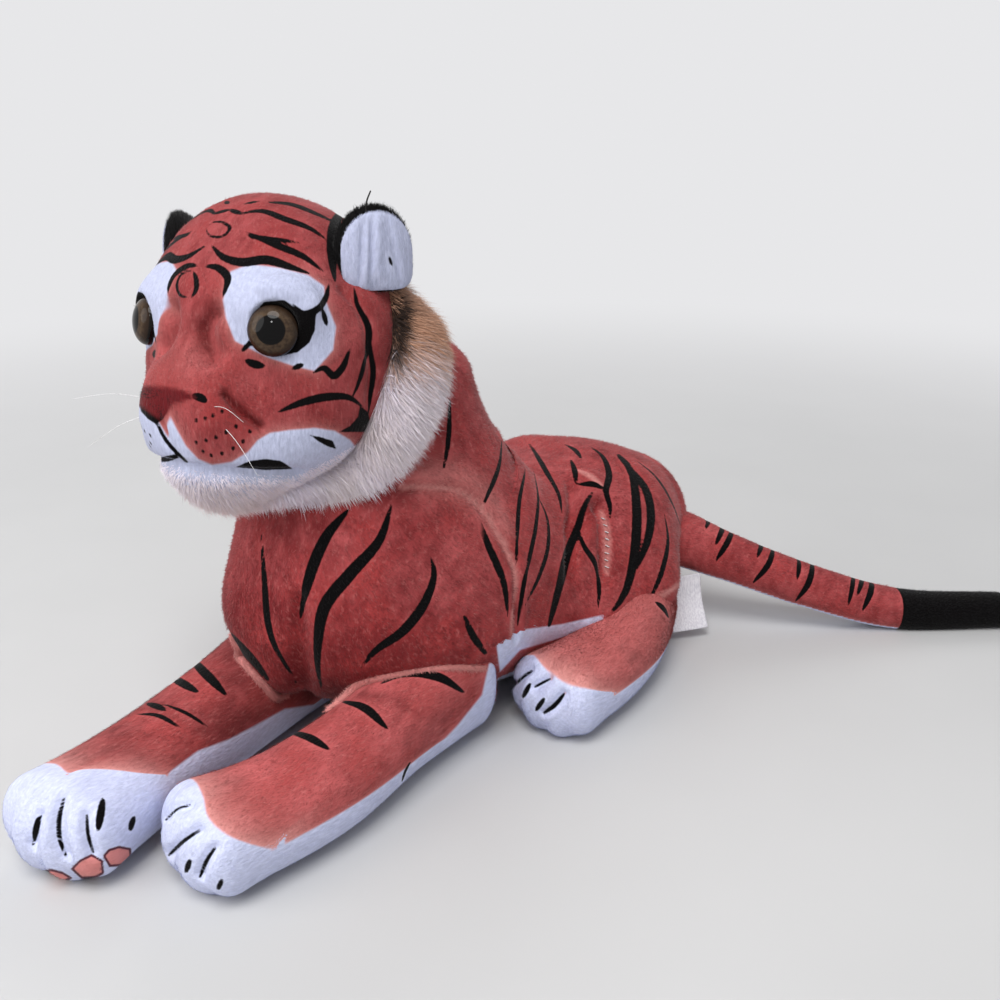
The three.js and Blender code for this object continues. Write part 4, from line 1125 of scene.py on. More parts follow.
dot_ink += in_head_mirror(dot_ink)
FACE_MM_PER_PX = 0.33
nose_front = [(139, 403), (150, 402), (164, 402), (168, 409), (163, 419), (156, 424), (148, 419), (141, 411)]
muzzle_far_side = [(125, 399), (144, 400), (152, 410), (160, 424), (170, 440), (180, 456), (186, 470),
                   (125, 470)]


def face_pixels(points):
    """Where the camera would see each point of the head, with the far half folded onto the near one."""
    local = to_head(points)
    folded = local * np.where(local[:, :1] < 0, [-1.0, 1, 1], [1.0, 1, 1])
    return pixels_of(to_world(folded)), folded


def head_fields(points, normals):
    """Ink from strokes, dots and patches; white from two outlines, on the side that faces ahead."""
    pixels, folded = face_pixels(points)
    facing = folded[:, 1] < 0.1 * HEAD_HALF_WIDTH
    ink = np.minimum(stroke_field(points, face_ink), stroke_field(points, dot_ink))
    patches = np.min([outline_field(pixels, patch) for patch in face_patches], axis=0) * FACE_MM_PER_PX
    ink = np.where(facing, np.minimum(ink, patches), ink)
    ahead_half = (to_head(points)[:, 0] < 0) & (to_head(points)[:, 1] < -0.9 * HEAD_HALF_WIDTH)
    nose_ink = outline_field(pixels_of(points), nose_front) * FACE_MM_PER_PX
    ink = np.where(ahead_half, np.minimum(ink, nose_ink), ink)
    ahead = to_head(points)[:, 1] < -0.75 * HEAD_HALF_WIDTH
    ink = np.where(ahead, np.minimum(ink, drawn_field(points, normals, muzzle_lines, FACE_MM_PER_PX)), ink)
    white = np.minimum(outline_field(pixels, eye_patch), outline_field(pixels, lower_face)) * FACE_MM_PER_PX
    far_side = outline_field(pixels_of(points), muzzle_far_side) * FACE_MM_PER_PX
    white = np.where(ahead_half, np.minimum(white, far_side), white)
    white = np.where(facing, white, np.minimum(FAR, folded[:, 2] + 0.62 * HEAD_HALF_WIDTH))
    deep_red_and_shade = 0.5 - 0.2 * bell(folded, np.array([0.25, -0.9, -0.1]) * HEAD_HALF_WIDTH, 16)
    # Creases of the muzzle and the dents beside the bridge are painted a deeper red: painted shade.
    deep_red_and_shade = deep_red_and_shade + 0.55 * np.exp(-(np.maximum(stroke_field(points, crease_lines, 10), 0) / 1.1) ** 2)
    pale = 0.45 * np.exp(-np.maximum(white, 0) / 1.6)
    pale += 0.12 * bell(folded, np.array([0.1, -0.95, 0.0]) * HEAD_HALF_WIDTH, 9)
    return ink, white, deep_red_and_shade, np.clip(pale, 0, 1), np.full(len(points), PLAIN_PAD)


def nose_share(points):
    pixels, folded = face_pixels(points)
    pixels = np.where(to_head(points)[:, :1] < 0, pixels_of(points), pixels)
    field = outline_field(pixels, nose_top) * FACE_MM_PER_PX
    return step_down(np.where(folded[:, 1] < -0.6 * HEAD_HALF_WIDTH, field, FAR), 0.6)


# %% [markdown]
# Plush cloth: the fields ride on the mesh as attributes, and the shader turns them into print. Fine noise
# frays every edge as short pile does, stretched noise draws the streaks where pile parts, and a bump and a
# sheen give the velvet look. The ground is lighter than the pile above it, since dye takes at the tips.

# %% Plush material
def node(tree, kind, inputs=(), **settings):
    made = tree.nodes.new(kind)
    for key, value in settings.items():
        setattr(made, key, value)
    for key, value in dict(inputs).items():
        if isinstance(value, bpy.types.NodeSocket):
            tree.links.new(value, made.inputs[key])
        else:
            made.inputs[key].default_value = value
    return made


def attribute(tree, name):
    return node(tree, "ShaderNodeAttribute", attribute_name=name).outputs["Fac"]


def mix_colour(tree, share, first, second):
    made = node(tree, "ShaderNodeMix", data_type="RGBA")
    for index, value in ((0, share), (6, first), (7, second)):
        if isinstance(value, bpy.types.NodeSocket):
            tree.links.new(value, made.inputs[index])
        else:
            made.inputs[index].default_value = value if index == 0 else (*value, 1)
    return made.outputs[2]


def arithmetic(tree, operation, first, second, third=0.0):
    made = node(tree, "ShaderNodeMath", operation=operation)
    for index, value in enumerate((first, second, third)):
        if isinstance(value, bpy.types.NodeSocket):
            tree.links.new(value, made.inputs[index])
        else:
            made.inputs[index].default_value = value
    return made.outputs[0]


def ramp(tree, value, low, high):
    return node(tree, "ShaderNodeMapRange", {"Value": value, "From Min": low, "From Max": high},
                interpolation_type="SMOOTHSTEP").outputs["Result"]


def noise(tree, scale, stretch=(1, 1, 1), detail=3.0):
    place = node(tree, "ShaderNodeTexCoord").outputs["Object"]
    mapped = node(tree, "ShaderNodeMapping", {"Vector": place, "Scale": stretch}).outputs["Vector"]
    return node(tree, "ShaderNodeTexNoise",
                {"Vector": mapped, "Scale": scale, "Detail": detail}).outputs["Fac"]


def new_material(name, roughness=0.9, sheen=0.0, specular=0.3, coat=0.0):
    """A material with its shader's constant sockets set directly."""
    made = bpy.data.materials.new(name)
    made.use_nodes = True
    shader = made.node_tree.nodes["Principled BSDF"]
    shader.inputs["Roughness"].default_value = roughness
    shader.inputs["Specular IOR Level"].default_value = specular
    shader.inputs["Sheen Weight"].default_value = sheen
    shader.inputs["Sheen Roughness"].default_value = 0.4
    shader.inputs["Coat Weight"].default_value = coat
    shader.inputs["Coat Roughness"].default_value = 0.03
    return made, made.node_tree, shader


def add_bump(tree, shader, height, strength, distance):
    bump = node(tree, "ShaderNodeBump", {"Height": height, "Strength": strength, "Distance": distance})
    tree.links.new(bump.outputs["Normal"], shader.inputs["Normal"])


def plush_material(name, stretch, shade=1.0):
    """Red from deep to coral, pale where nap parts, then white, pads and black, each with a frayed edge; the
    red's depth holds painted shade in folds and creases, and a shade below one darkens it all as painted
    shade.
    """
    made, tree, shader = new_material(name, roughness=0.95, sheen=0.1, specular=0.08)
    fray = arithmetic(tree, "MULTIPLY_ADD", noise(tree, 1100.0, stretch), 0.3, -0.15)
    streak = noise(tree, 1100.0, stretch, 4.0)
    red = mix_colour(tree, attribute(tree, "deep_red_and_shade"), CORAL, DEEP_RED)
    red = mix_colour(tree, ramp(tree, noise(tree, 60.0), 0.35, 0.75), red, RED)
    red = mix_colour(tree, arithmetic(tree, "MULTIPLY", ramp(tree, streak, 0.5, 0.8), 0.35), red, FLECK)
    red = mix_colour(tree, attribute(tree, "pale"), red, PALE_NAP)
    snow = mix_colour(tree, ramp(tree, streak, 0.3, 0.8), linear(200, 205, 232), WHITE)
    pad = arithmetic(tree, "ADD", attribute(tree, "pad"), fray)
    colour = mix_colour(tree, ramp(tree, arithmetic(tree, "ADD", attribute(tree, "white"), fray), 0.5,
                                   -0.5), red, snow)
    colour = mix_colour(tree, ramp(tree, pad, 0.6, 0.1), colour, PAD_RIM)
    colour = mix_colour(tree, ramp(tree, pad, -0.2, -0.6), colour, PEACH)
    colour = mix_colour(tree, ramp(tree, arithmetic(tree, "ADD", attribute(tree, "ink"), fray), 0.3, -0.2),
                        colour, BLACK)
    # A shade below one darkens the whole cloth: painted shade, used on the face and ear linings where the
    # lamps fall strongest.
    colour = mix_colour(tree, 1.0 - shade, colour, BLACK)
    colour = mix_colour(tree, attribute(tree, "nose"), colour, MAROON)
    tree.links.new(colour, shader.inputs["Base Color"])
    add_bump(tree, shader, noise(tree, 1300.0, stretch, 4.0), 0.5, 0.0008)
    return made


# %% [markdown]
# Pile is what makes plush read as plush. Every tuft is one narrow triangle that leans the way the nap was
# brushed. Roots are spread over the cloth by area, and each tuft takes its colour from the same fields.

# %% Pile
def scattered(skin, count):
    """Random points of the skin, spread by area, with their normals."""
    corners = np.concatenate([skin.quads[:, [0, 1, 2]], skin.quads[:, [0, 2, 3]], skin.fans])
    a, b, c = (skin.points[corners[:, k]] for k in range(3))
    area = np.linalg.norm(np.cross(b - a, c - a), axis=1)
    chosen = np.searchsorted(np.cumsum(area) / area.sum(), rng.random(count))
    chosen = np.minimum(chosen, len(corners) - 1)
    s, t = rng.random((2, count, 1))
    s, t = np.where(s + t > 1, 1 - s, s), np.where(s + t > 1, 1 - t, t)
    points = a[chosen] + s * (b - a)[chosen] + t * (c - a)[chosen]
    normals = sum(share * skin.normals[corners[chosen, k]] for k, share in enumerate((1 - s - t, s, t)))
    return points, unit(normals)


def unit(vectors):
    return vectors / np.maximum(np.linalg.norm(vectors, axis=-1, keepdims=True), 1e-9)


def laid(normals, nap, rise, stray):
    """Directions that lean rise degrees off the cloth along the nap, each a little astray."""
    nap = nap + rng.normal(0, stray, normals.shape)
    flat = unit(nap - np.einsum("ij,ij->i", nap, normals)[:, None] * normals)
    lift = np.radians(rise + rng.normal(0, 9, len(normals)))[:, None]
    return unit(flat * np.cos(lift) + normals * np.sin(lift))


def set_colours(mesh, colours):
    attribute_layer = mesh.color_attributes.new("pile", "FLOAT_COLOR", "POINT")
    rgba = np.concatenate([colours, np.ones((len(colours), 1))], axis=1)
    attribute_layer.data.foreach_set("color", rgba.astype(np.float32).ravel())


def cell_map(mesh, count, corners_each):
    """A map where each tuft has a square cell of its own, so that its colour survives being baked."""
    side = int(np.ceil(np.sqrt(count)))
    cell = np.stack([np.arange(count) % side, np.arange(count) // side], axis=1)
    corner = np.array([[0.2, 0.2], [0.8, 0.2], [0.5, 0.8]])[:corners_each]
    uv = (cell[:, None] + corner[None]) / side
    layer = mesh.uv_layers.new(name="OFBake")
    layer.data.foreach_set("uv", uv.astype(np.float32).ravel())


NAP_DEPTH, PRINT_CLEAR = 0.42, 0.6


def pile_colours(fields, points, normals):
    """Red, pale, white, pad or black by the fields, with each tuft a little lighter, darker, pinker or
    browner."""
    ink, white, deep_red_and_shade, pale, pad = fields(points, normals)
    count = len(points)
    fray = rng.normal(0, 0.2, count)
    nap = crushed(points)
    colours = blend_colours(np.tile(CORAL, (count, 1)), DEEP_RED, deep_red_and_shade + rng.normal(0, 0.1, count)
                            - NAP_DEPTH * nap)
    colours = blend_colours(colours, RED, 0.3 + 0.15 * ripple(points, 7.0))
    colours = blend_colours(colours, FLECK, (rng.random(count) < 0.08) * 0.3 + 0.22
                            * np.maximum(nap - 0.15, 0))
    colours = blend_colours(colours, PALE_NAP, pale + rng.normal(0, 0.08, count) * (pale > 0.05))
    colours = blend_colours(colours, WHITE, step_down(white + 2 * fray, 0.35))
    colours = blend_colours(colours, PAD_RIM, step_down(pad - 0.3 + 0.5 * fray, 0.2))
    colours = blend_colours(colours, PEACH, step_down(pad + 0.4 + 0.5 * fray, 0.2))
    colours = blend_colours(colours, BLACK, step_down(ink + 0.35 * fray, 0.1))
    return colours * np.clip(1 + rng.normal(0, 0.06, count), 0.7, 1.3)[:, None], ink, white


def tufts(name, skin, count, nap, fields, length, width, keep=None, rise=26.0, stray=0.28, rules=None):
    """One triangle a tuft: two root corners apart along the side direction, and the tip along its lean."""
    points, normals = scattered(skin, count)
    if keep is not None:
        kept = keep(points)
        points, normals = points[kept], normals[kept]
    lean = laid(normals, nap(points), rise, stray)
    middle = points + lean * length * 0.35
    colours, ink, white = pile_colours(fields, middle, normals)
    if rules is not None:
        colours = rules(middle, colours)
    side = unit(np.cross(lean, normals))
    beside = np.clip(np.minimum(np.abs(ink), np.abs(white)) / 1.2, 0.45, 1.0)
    beside = np.where((ink > 0.05) & (ink < PRINT_CLEAR) & (white < 0), 0.1, beside)
    tall = length * beside * np.where(white < 0, 0.75, 1.0)
    tall = tall * np.clip(1 + rng.normal(0, 0.2, len(points)), 0.4, 1.6)
    root = points - normals * 0.25
    half = side * (width / 2 * (0.8 + 0.4 * rng.random(len(points))))[:, None]
    corners = np.stack([root - half, root + half, root + lean * tall[:, None]], axis=1).reshape(-1, 3)
    corners[:, 2] = np.maximum(corners[:, 2], 0.05)
    mesh = fill_mesh(name, corners, (), np.arange(len(corners)).reshape(-1, 3))
    # Root corners are painted darker and the tip a little lighter: painted shade deep in the pile.
    set_colours(mesh, np.stack([colours * 0.84, colours * 0.84, np.minimum(colours * 1.06, 1)],
                               1).reshape(-1, 3))
    cell_map(mesh, len(points), 3)
    piece = add_piece(name, mesh, pile_material())
    shade_like(mesh, normals, 3, 0.14)
    print(name, len(points), "tufts")
    return piece


def shade_like(mesh, normals, corners_each, astray):
    """Gives each tuft the cloth's normal, a little astray, so that pile takes light softly, as velvet
    does."""
    shading = unit(normals + rng.normal(0, astray, normals.shape))
    mesh.normals_split_custom_set_from_vertices(np.repeat(shading, corners_each, axis=0).tolist())


def pile_material():
    """Tuft colour from its attribute, warmed and cooled by slow noise, with a soft sheen."""
    made = bpy.data.materials.get("pile")
    if made:
        return made
    made, tree, shader = new_material("pile", roughness=0.8, sheen=0.15, specular=0.2)
    colour = node(tree, "ShaderNodeAttribute", attribute_name="pile").outputs["Color"]
    tint = mix_colour(tree, ramp(tree, noise(tree, 120.0), 0.3, 0.7), (0.9, 0.9, 0.9), (1.0, 1.0, 1.0))
    tinted = node(tree, "ShaderNodeMix", data_type="RGBA", blend_type="MULTIPLY")
    tinted.inputs[0].default_value = 1.0
    tree.links.new(colour, tinted.inputs[6])
    tree.links.new(tint, tinted.inputs[7])
    tree.links.new(tinted.outputs[2], shader.inputs["Base Color"])
    return made


# %% [markdown]
# Dressing a skin: the cloth gets its fields as attributes and stands for the imported model's cloth and
# stuffing there; its pile rides the same way.

# %% Cloth pieces
TUFT_BUDGET = 180000


def cloth(name, skin, fields, material, replaced, nose=None):
    mesh = fill_mesh(name, skin.points, skin.quads, skin.fans)
    ink, white, deep_red_and_shade, pale, pad = fields(skin.points, skin.normals)
    deep_red_and_shade = deep_red_and_shade - NAP_DEPTH * crushed(skin.points)
    set_value(mesh, "ink", np.clip(ink, -9, 9))
    set_value(mesh, "white", np.clip(white, -9, 9))
    set_value(mesh, "deep_red_and_shade", np.clip(deep_red_and_shade, 0, 1))
    set_value(mesh, "pale", pale)
    set_value(mesh, "pad", np.clip(pad, -9, 9))
    set_value(mesh, "nose", np.zeros(len(ink)) if nose is None else nose(skin.points))
    piece = add_piece(name, mesh, material)
    if replaced:
        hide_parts(*replaced)
    return piece


def steady(*direction):
    return lambda points: np.tile(np.array(direction, float), (len(points), 1))


plush_back = plush_material("plush_back", (1, 0.45, 0.45))
plush_down = plush_material("plush_down", (1, 1, 0.3))
plush_along = plush_material("plush_along", (1, 0.3, 1))
# The face cloth is a darker copy of the plush: painted shade on the head and the ear linings.
plush_face_painted_shade = plush_material("plush_face_painted_shade", (1, 1, 0.3), 0.76)

NECK_POINT = np.array([-0.13 * BODY_HALF_WIDTH, -0.55 * BODY_LENGTH, NECK_HEIGHT])
NECK_AXIS = np.array([0, -np.sin(np.radians(25)), np.cos(np.radians(25))])


def clear_of_limbs(points):
    """Leaves out pile that would stand inside a leg, the tail or the head."""
    depth = np.max([tube.depth_of(points) for tube in (*leg_tubes.values(), tail_tube)], axis=0)
    return (depth < 1.5) & (head_distance(to_head(points)) > -2.0)


body_cover = cloth("body_cover", body_skin, body_fields, plush_back,
                   ["torso_skin", "belly_panel", "torso_filling"])
body_pile = tufts("body_pile", body_skin, TUFT_BUDGET, steady(0, 1.0, -0.9), body_fields, 1.7, 0.3,
                  clear_of_limbs)
for piece in (body_cover, body_pile):
    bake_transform(piece)


def outside_body(points):
    return body_tube.depth_of(points) < 2.5


for leg, skin in leg_skins.items():
    tube = leg_tubes[leg]
    cover = cloth(f"{leg}_cover", skin, paws[leg].fields, plush_along,
                  [f"{leg}_skin", f"{leg}_lining", f"{leg}_filling"])
    pile = tufts(f"{leg}_pile", skin, TUFT_BUDGET * 3 // 7, steady(*(tube.centre[-1] - tube.centre[0])),
                 paws[leg].fields, 1.4, 0.28, outside_body)
    for piece in (cover, pile):
        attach(piece, leg)

tail_cover = cloth("tail_cover", tail_skin, tail_fields, plush_along,
                   ["tail_sleeve", "tail_underside", "tail_filling", "tail_tip_skin", "tail_tip_filling"])
tail_pile = tufts("tail_pile", tail_skin, TUFT_BUDGET // 3, steady(*tail_run), tail_fields, 1.5, 0.28,
                  outside_body)
for piece in (tail_cover, tail_pile):
    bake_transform(piece)

# %% [markdown]
# Where a leg was sewn to the body the nap parts, and its pale roots stand up as a soft welt. It is a thin
# tube along the seam, laid on whichever cloth the camera meets first, with its own pile.

# %% Welts at the shoulders
WELT_RADIUS, WELT_SINK = 2.0, 1.3


def first_hit(skins, pixel):
    """The nearest of the places where a pixel's ray meets several skins."""
    hits = [hit for hit in (skin.cast(pixel) for skin in skins) if hit is not None]
    return min(hits, key=lambda hit: np.linalg.norm(hit - CAMERA_AT))


def welt_fields(points, normals):
    count = len(points)
    plain = np.full(count, PLAIN_PAD)
    return plain, plain, np.full(count, 0.1), np.full(count, 0.68), plain


def add_welt(side):
    pixels = smooth_rows(shoulder_seams[side], 26)
    line = np.array([first_hit((body_skin, leg_skins[f"foreleg_{side}"]), pixel) for pixel in pixels])
    for _ in range(2):
        line[1:-1] = (line[:-2] + 2 * line[1:-1] + line[2:]) / 4
    line = line + camera_ahead * WELT_SINK
    radius = WELT_RADIUS * (0.35 + 0.65 * np.sin(np.pi * np.linspace(0.02, 0.98, len(line))) ** 0.5)
    rows = np.concatenate([line, np.repeat(radius[:, None], 3, axis=1)], axis=1)
    skin = tube_skin(Tube(rows, (0, 0, 1), 0.5, 0.5, 20, 120, 3))
    welt = cloth(f"shoulder_welt_{side}", skin, welt_fields, plush_back, [])
    pile = tufts(f"shoulder_welt_pile_{side}", skin, TUFT_BUDGET // 24, steady(0, 0.3, -1), welt_fields,
                 1.7, 0.24)
    for piece in (welt, pile):
        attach(piece, f"foreleg_{side}")


for side in shoulder_seams:
    add_welt(side)

# %% Head cloth
NOSE_TIP = to_world(np.array([[0, -1.22, -0.25]]) * HEAD_HALF_WIDTH)[0]


def away_from_nose(points):
    return unit(points - NOSE_TIP) + [0, 0, -0.25]


# The head's pile and the ear lining's pile are darkened as a whole: painted shade that evens out the stronger
# lamp light on the head.
HEAD_PAINTED_SHADE, EAR_PAINTED_SHADE = 0.76, 0.72


def head_rules(points, colours):
    """The nose leather: maroon, nearly black towards its tip; the rest of the head's pile is darkened as a
    whole, as painted shade.
    """
    pixels = pixels_of(points)
    dark = (178 - pixels[:, 0]) / 22 + (pixels[:, 1] - 398) / 12
    leather = blend_colours(np.tile(MAROON, (len(points), 1)), DARK_MAROON, dark)
    share = nose_share(points)[:, None]
    return colours * HEAD_PAINTED_SHADE * (1 - share) + leather * share


def ear_rules(points, colours):
    # The ear lining's pile is darkened as a whole: painted shade.
    return colours * EAR_PAINTED_SHADE


eye_at = {side: to_world(eye_seat(sign)[0][None])[0] for side, sign in (("left", 1), ("right", -1))}


def clear_of_eyes(points):
    return np.min([np.linalg.norm(points - at, axis=1) for at in eye_at.values()], axis=0) > EYE_RADIUS + 0.3


head_cover = cloth("head_cover", head_skin, head_fields, plush_face_painted_shade,
                   ["head_skin", "chin_panel", "head_filling"], nose_share)
head_pile = tufts("head_pile", head_skin, TUFT_BUDGET, away_from_nose, head_fields, 1.2, 0.25, clear_of_eyes,
                  20.0, 0.28, head_rules)
for piece in (head_cover, head_pile):
    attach(piece, "head")

# %% [markdown]
# The stuffing of the neck is out of sight under the cloth. A cuff of cloth stands for it.

# %% Neck cuff
cuff_rows = np.array([[*(NECK_POINT + NECK_AXIS * at), 25.0, 25.0, 25.0] for at in (-14.0, 0.0, 14.0)])
cuff_skin = tube_skin(Tube(cuff_rows, (1, 0, 0), 12.0, 12.0, 60, 24))
neck_cuff = cloth("neck_cuff", cuff_skin, body_fields, plush_back, ["neck_filling"])
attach(neck_cuff, "neck")

# %% [markdown]
# The ruff is a band of long pile from ear to ear under the jaw. Its cloth lies on the head and swells
# outward between its two edges. Long tufts are ribbons of two links that curl and sag.

# %% Ruff cloth
RUFF_FROM, RUFF_TO = 34.0, -214.0
RUFF_SIDE = (np.array([0, 0.19, 0.55]), unit(np.array([0, 0.965, -0.26])))
RUFF_CHIN = (np.array([0, 0.04, 0.55]), unit(np.array([0, 0.93, -0.37])))
RUFF_BACK = (np.array([0, 0.88, -0.1]), unit(np.array([0, 0.82, -0.56])))


def ruff_point(angle, across, lift):
    """A point of the band: the angle runs round the head from the left ear under the chin, across runs
    from the front edge to the back one, and lift is the share of the way from the head to the outer form."""
    under = np.clip((-np.sin(angle) - 0.62) / 0.3, 0, 1)[..., None]
    under = under**2 * (3 - 2 * under)
    front = [side * (1 - under) + chin * under for side, chin in zip(RUFF_SIDE, RUFF_CHIN)]
    low = front[0] * (1 - across[..., None]) + RUFF_BACK[0] * across[..., None]
    normal = unit(front[1] * (1 - across[..., None]) + RUFF_BACK[1] * across[..., None])
    flat = np.stack([np.cos(angle), np.zeros_like(angle), np.sin(angle)], axis=-1)
    slope = -(flat * normal).sum(-1) / normal[..., 1]
    ray = unit(flat + np.stack([np.zeros_like(slope), slope, np.zeros_like(slope)], axis=-1))
    middle = low * HEAD_HALF_WIDTH * [1, 1, 0]
    middle = middle + [0, 0, -0.15 * HEAD_HALF_WIDTH]
    height = low[..., 2] * HEAD_HALF_WIDTH + 0.15 * HEAD_HALF_WIDTH
    middle[..., 1] += height * normal[..., 2] / normal[..., 1]

    def outer(points):
        return np.minimum(egg_distance(points, collar_shares), head_distance(points) - 3.0)

    near = reach_of(head_distance, middle, ray, 2.2 * HEAD_HALF_WIDTH)
    far = np.maximum(reach_of(outer, middle, ray, 2.2 * HEAD_HALF_WIDTH), near)
    return middle + ray * (near + (far - near) * lift)[..., None]


def ruff_grid(around=260, rings=70):
    """Rings run across the band: out over the top by a sine, and back just under the head's surface."""
    angle = np.radians(np.linspace(RUFF_FROM, RUFF_TO, around))
    turn_share = np.arange(rings) / rings
    over = turn_share < 0.7
    across = np.where(over, turn_share / 0.7, 1 - (turn_share - 0.7) / 0.3)
    crown = np.where(over, np.sin(np.pi * across) ** 0.6, 0.0)
    angle, across = np.meshgrid(angle, across, indexing="ij")
    crown = np.broadcast_to(crown, angle.shape)
    ends = np.clip(np.minimum(angle - angle.min(), angle.max() - angle) / 0.35, 0, 1) ** 0.5
    points = ruff_point(angle, across, crown * ends)
    inner = unit(points - HEAD_MIDDLE) * np.where(crown > 0, 0.0, 1.5)[..., None]
    return points - inner


ruff_points = ruff_grid()
ruff_ends = np.stack([ruff_points[0].mean(0), ruff_points[-1].mean(0)])
ruff_skin = Skin(to_world(np.concatenate([ruff_points.reshape(-1, 3), ruff_ends])),
                 *ring_faces(*ruff_points.shape[:2]))
RUFF_SHADE = 0.94
RUFF_DARK = ((393, 325), (6.0, 33.0))
RUFF_TAN_BELOW = 385.0


def ruff_colours(points):
    """A dark patch beside each cheek, tan behind it down to a level, then snow and cream in slow drifts."""
    pixels, folded = face_pixels(points)
    count = len(points)
    drift = 0.5 + 0.5 * ripple(points, 6.0) + rng.normal(0, 0.15, count)
    colours = blend_colours(np.tile(SNOW, (count, 1)), CREAM, drift)
    tan = (RUFF_TAN_BELOW - pixels[:, 1]) / 40 + rng.normal(0, 0.25, count)
    colours = blend_colours(colours, TAN, tan * 0.9)
    dark = ellipse_field(pixels, *RUFF_DARK) / 4 + rng.normal(0, 0.25, count)
    return RUFF_SHADE * blend_colours(colours, BLACK * 1.5, np.clip(0.6 - dark, 0, 0.95)
                                      * (folded[:, 1] < 40))


def ruff_material():
    made, tree, shader = new_material("ruff_cloth", roughness=0.95, sheen=0.2, specular=0.1)
    colour = node(tree, "ShaderNodeAttribute", attribute_name="pile").outputs["Color"]
    shade = mix_colour(tree, ramp(tree, noise(tree, 500.0, (1, 1, 0.4)), 0.3, 0.7), (0.78, 0.74, 0.72),
                       (1, 1, 1))
    mixed = node(tree, "ShaderNodeMix", data_type="RGBA", blend_type="MULTIPLY")
    mixed.inputs[0].default_value = 1.0
    tree.links.new(colour, mixed.inputs[6])
    tree.links.new(shade, mixed.inputs[7])
    tree.links.new(mixed.outputs[2], shader.inputs["Base Color"])
    add_bump(tree, shader, noise(tree, 600.0, (1, 1, 0.4)), 0.6, 0.002)
    return made


ruff_mesh = fill_mesh("ruff_cover", ruff_skin.points, ruff_skin.quads, ruff_skin.fans)
set_colours(ruff_mesh, ruff_colours(ruff_skin.points))
ruff_cover = add_piece("ruff_cover", ruff_mesh, ruff_material())
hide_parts("ruff_collar")
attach(ruff_cover, "head")

# %% [markdown]
# The collar's fur is long and loose, so it is made of narrow bent ribbons in two coats.

# %% Ruff pile
RIBBON_LINKS = 2


def ribbons(name, points, normals, lean, colours, length, width, curl, material):
    """Each tuft is a strip of links that narrows to its tip and bends towards curl as it goes."""
    count = len(points)
    side = unit(np.cross(lean, normals))
    at = points - normals * 0.4
    rows = []
    for link in range(RIBBON_LINKS):
        half = side * (width / 2 * (1 - 0.3 * link))[:, None]
        rows += [at - half, at + half]
        at = at + unit(lean + curl * (link + 0.3) * 0.45) * (length / RIBBON_LINKS)[:, None]
    rows.append(at)
    corners = np.stack(rows, axis=1)
    each = corners.shape[1]
    base = (np.arange(count) * each)[:, None, None]
    strip = np.array([[0, 1, 3], [0, 3, 2], [2, 3, 4]])
    faces = (base + strip[None]).reshape(-1, 3)
    mesh = fill_mesh(name, corners.reshape(-1, 3), (), faces)
    # Each ribbon is darker towards its root and a little lighter at its tip: painted shade deep in the fur.
    shade = np.array([0.93, 0.93, 0.98, 0.98, 1.02])
    set_colours(mesh, np.minimum(colours[:, None] * shade[None, :, None], 1).reshape(-1, 3))
    side_cells = int(np.ceil(np.sqrt(count)))
    cell = np.stack([np.arange(count) % side_cells, np.arange(count) // side_cells], axis=1)
    spots = np.array([[0.25, 0.15], [0.75, 0.15], [0.25, 0.5], [0.75, 0.5], [0.5, 0.85]])
    uv = ((cell[:, None] + spots[None]) / side_cells).reshape(-1, 2)
    mesh.uv_layers.new(name="OFBake").data.foreach_set("uv", uv[faces.ravel()].astype(np.float32).ravel())
    piece = add_piece(name, mesh, material)
    shade_like(mesh, normals, 5, 0.22)
    print(name, count, "ribbons")
    return piece


def ruff_pile(name, count, rise, length, width, spread):
    """Roots over the band's outer face; the nap runs back, outward and down."""
    points, normals = scattered(ruff_skin, count)
    local = to_head(points)
    kept = head_distance(local) > -0.6
    points, normals, local = points[kept], normals[kept], local[kept]
    outward_way = unit(local * [1, 0, 1]) @ HEAD_TURN.T
    back = np.array([0, 1.0, 0]) @ HEAD_TURN.T
    locks = np.stack([ripple(points + 40 * k, 2.4) for k in range(3)], axis=1)
    nap = back * 0.8 + outward_way * 0.35 + np.array([0, 0, -0.6]) + 0.35 * locks
    lean = laid(normals, nap, rise, 0.2)
    long_enough = length * np.clip(1 + rng.normal(0, spread, len(points)), 0.5, 1.5)
    colours = ruff_colours(points) * np.clip(1 + rng.normal(0, 0.03, len(points)), 0.8, 1.2)[:, None]
    widths = width * (0.75 + 0.5 * rng.random(len(points)))
    return ribbons(name, points, normals, lean, colours, long_enough, widths, np.array([0, 0.1, -0.5]),
                   pile_material())


RUFF_COUNT = 62000
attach(ruff_pile("ruff_under_pile", RUFF_COUNT, 14.0, 6.0, 0.42, 0.2), "head")
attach(ruff_pile("ruff_pile", RUFF_COUNT, 22.0, 6.4, 0.22, 0.2), "head")


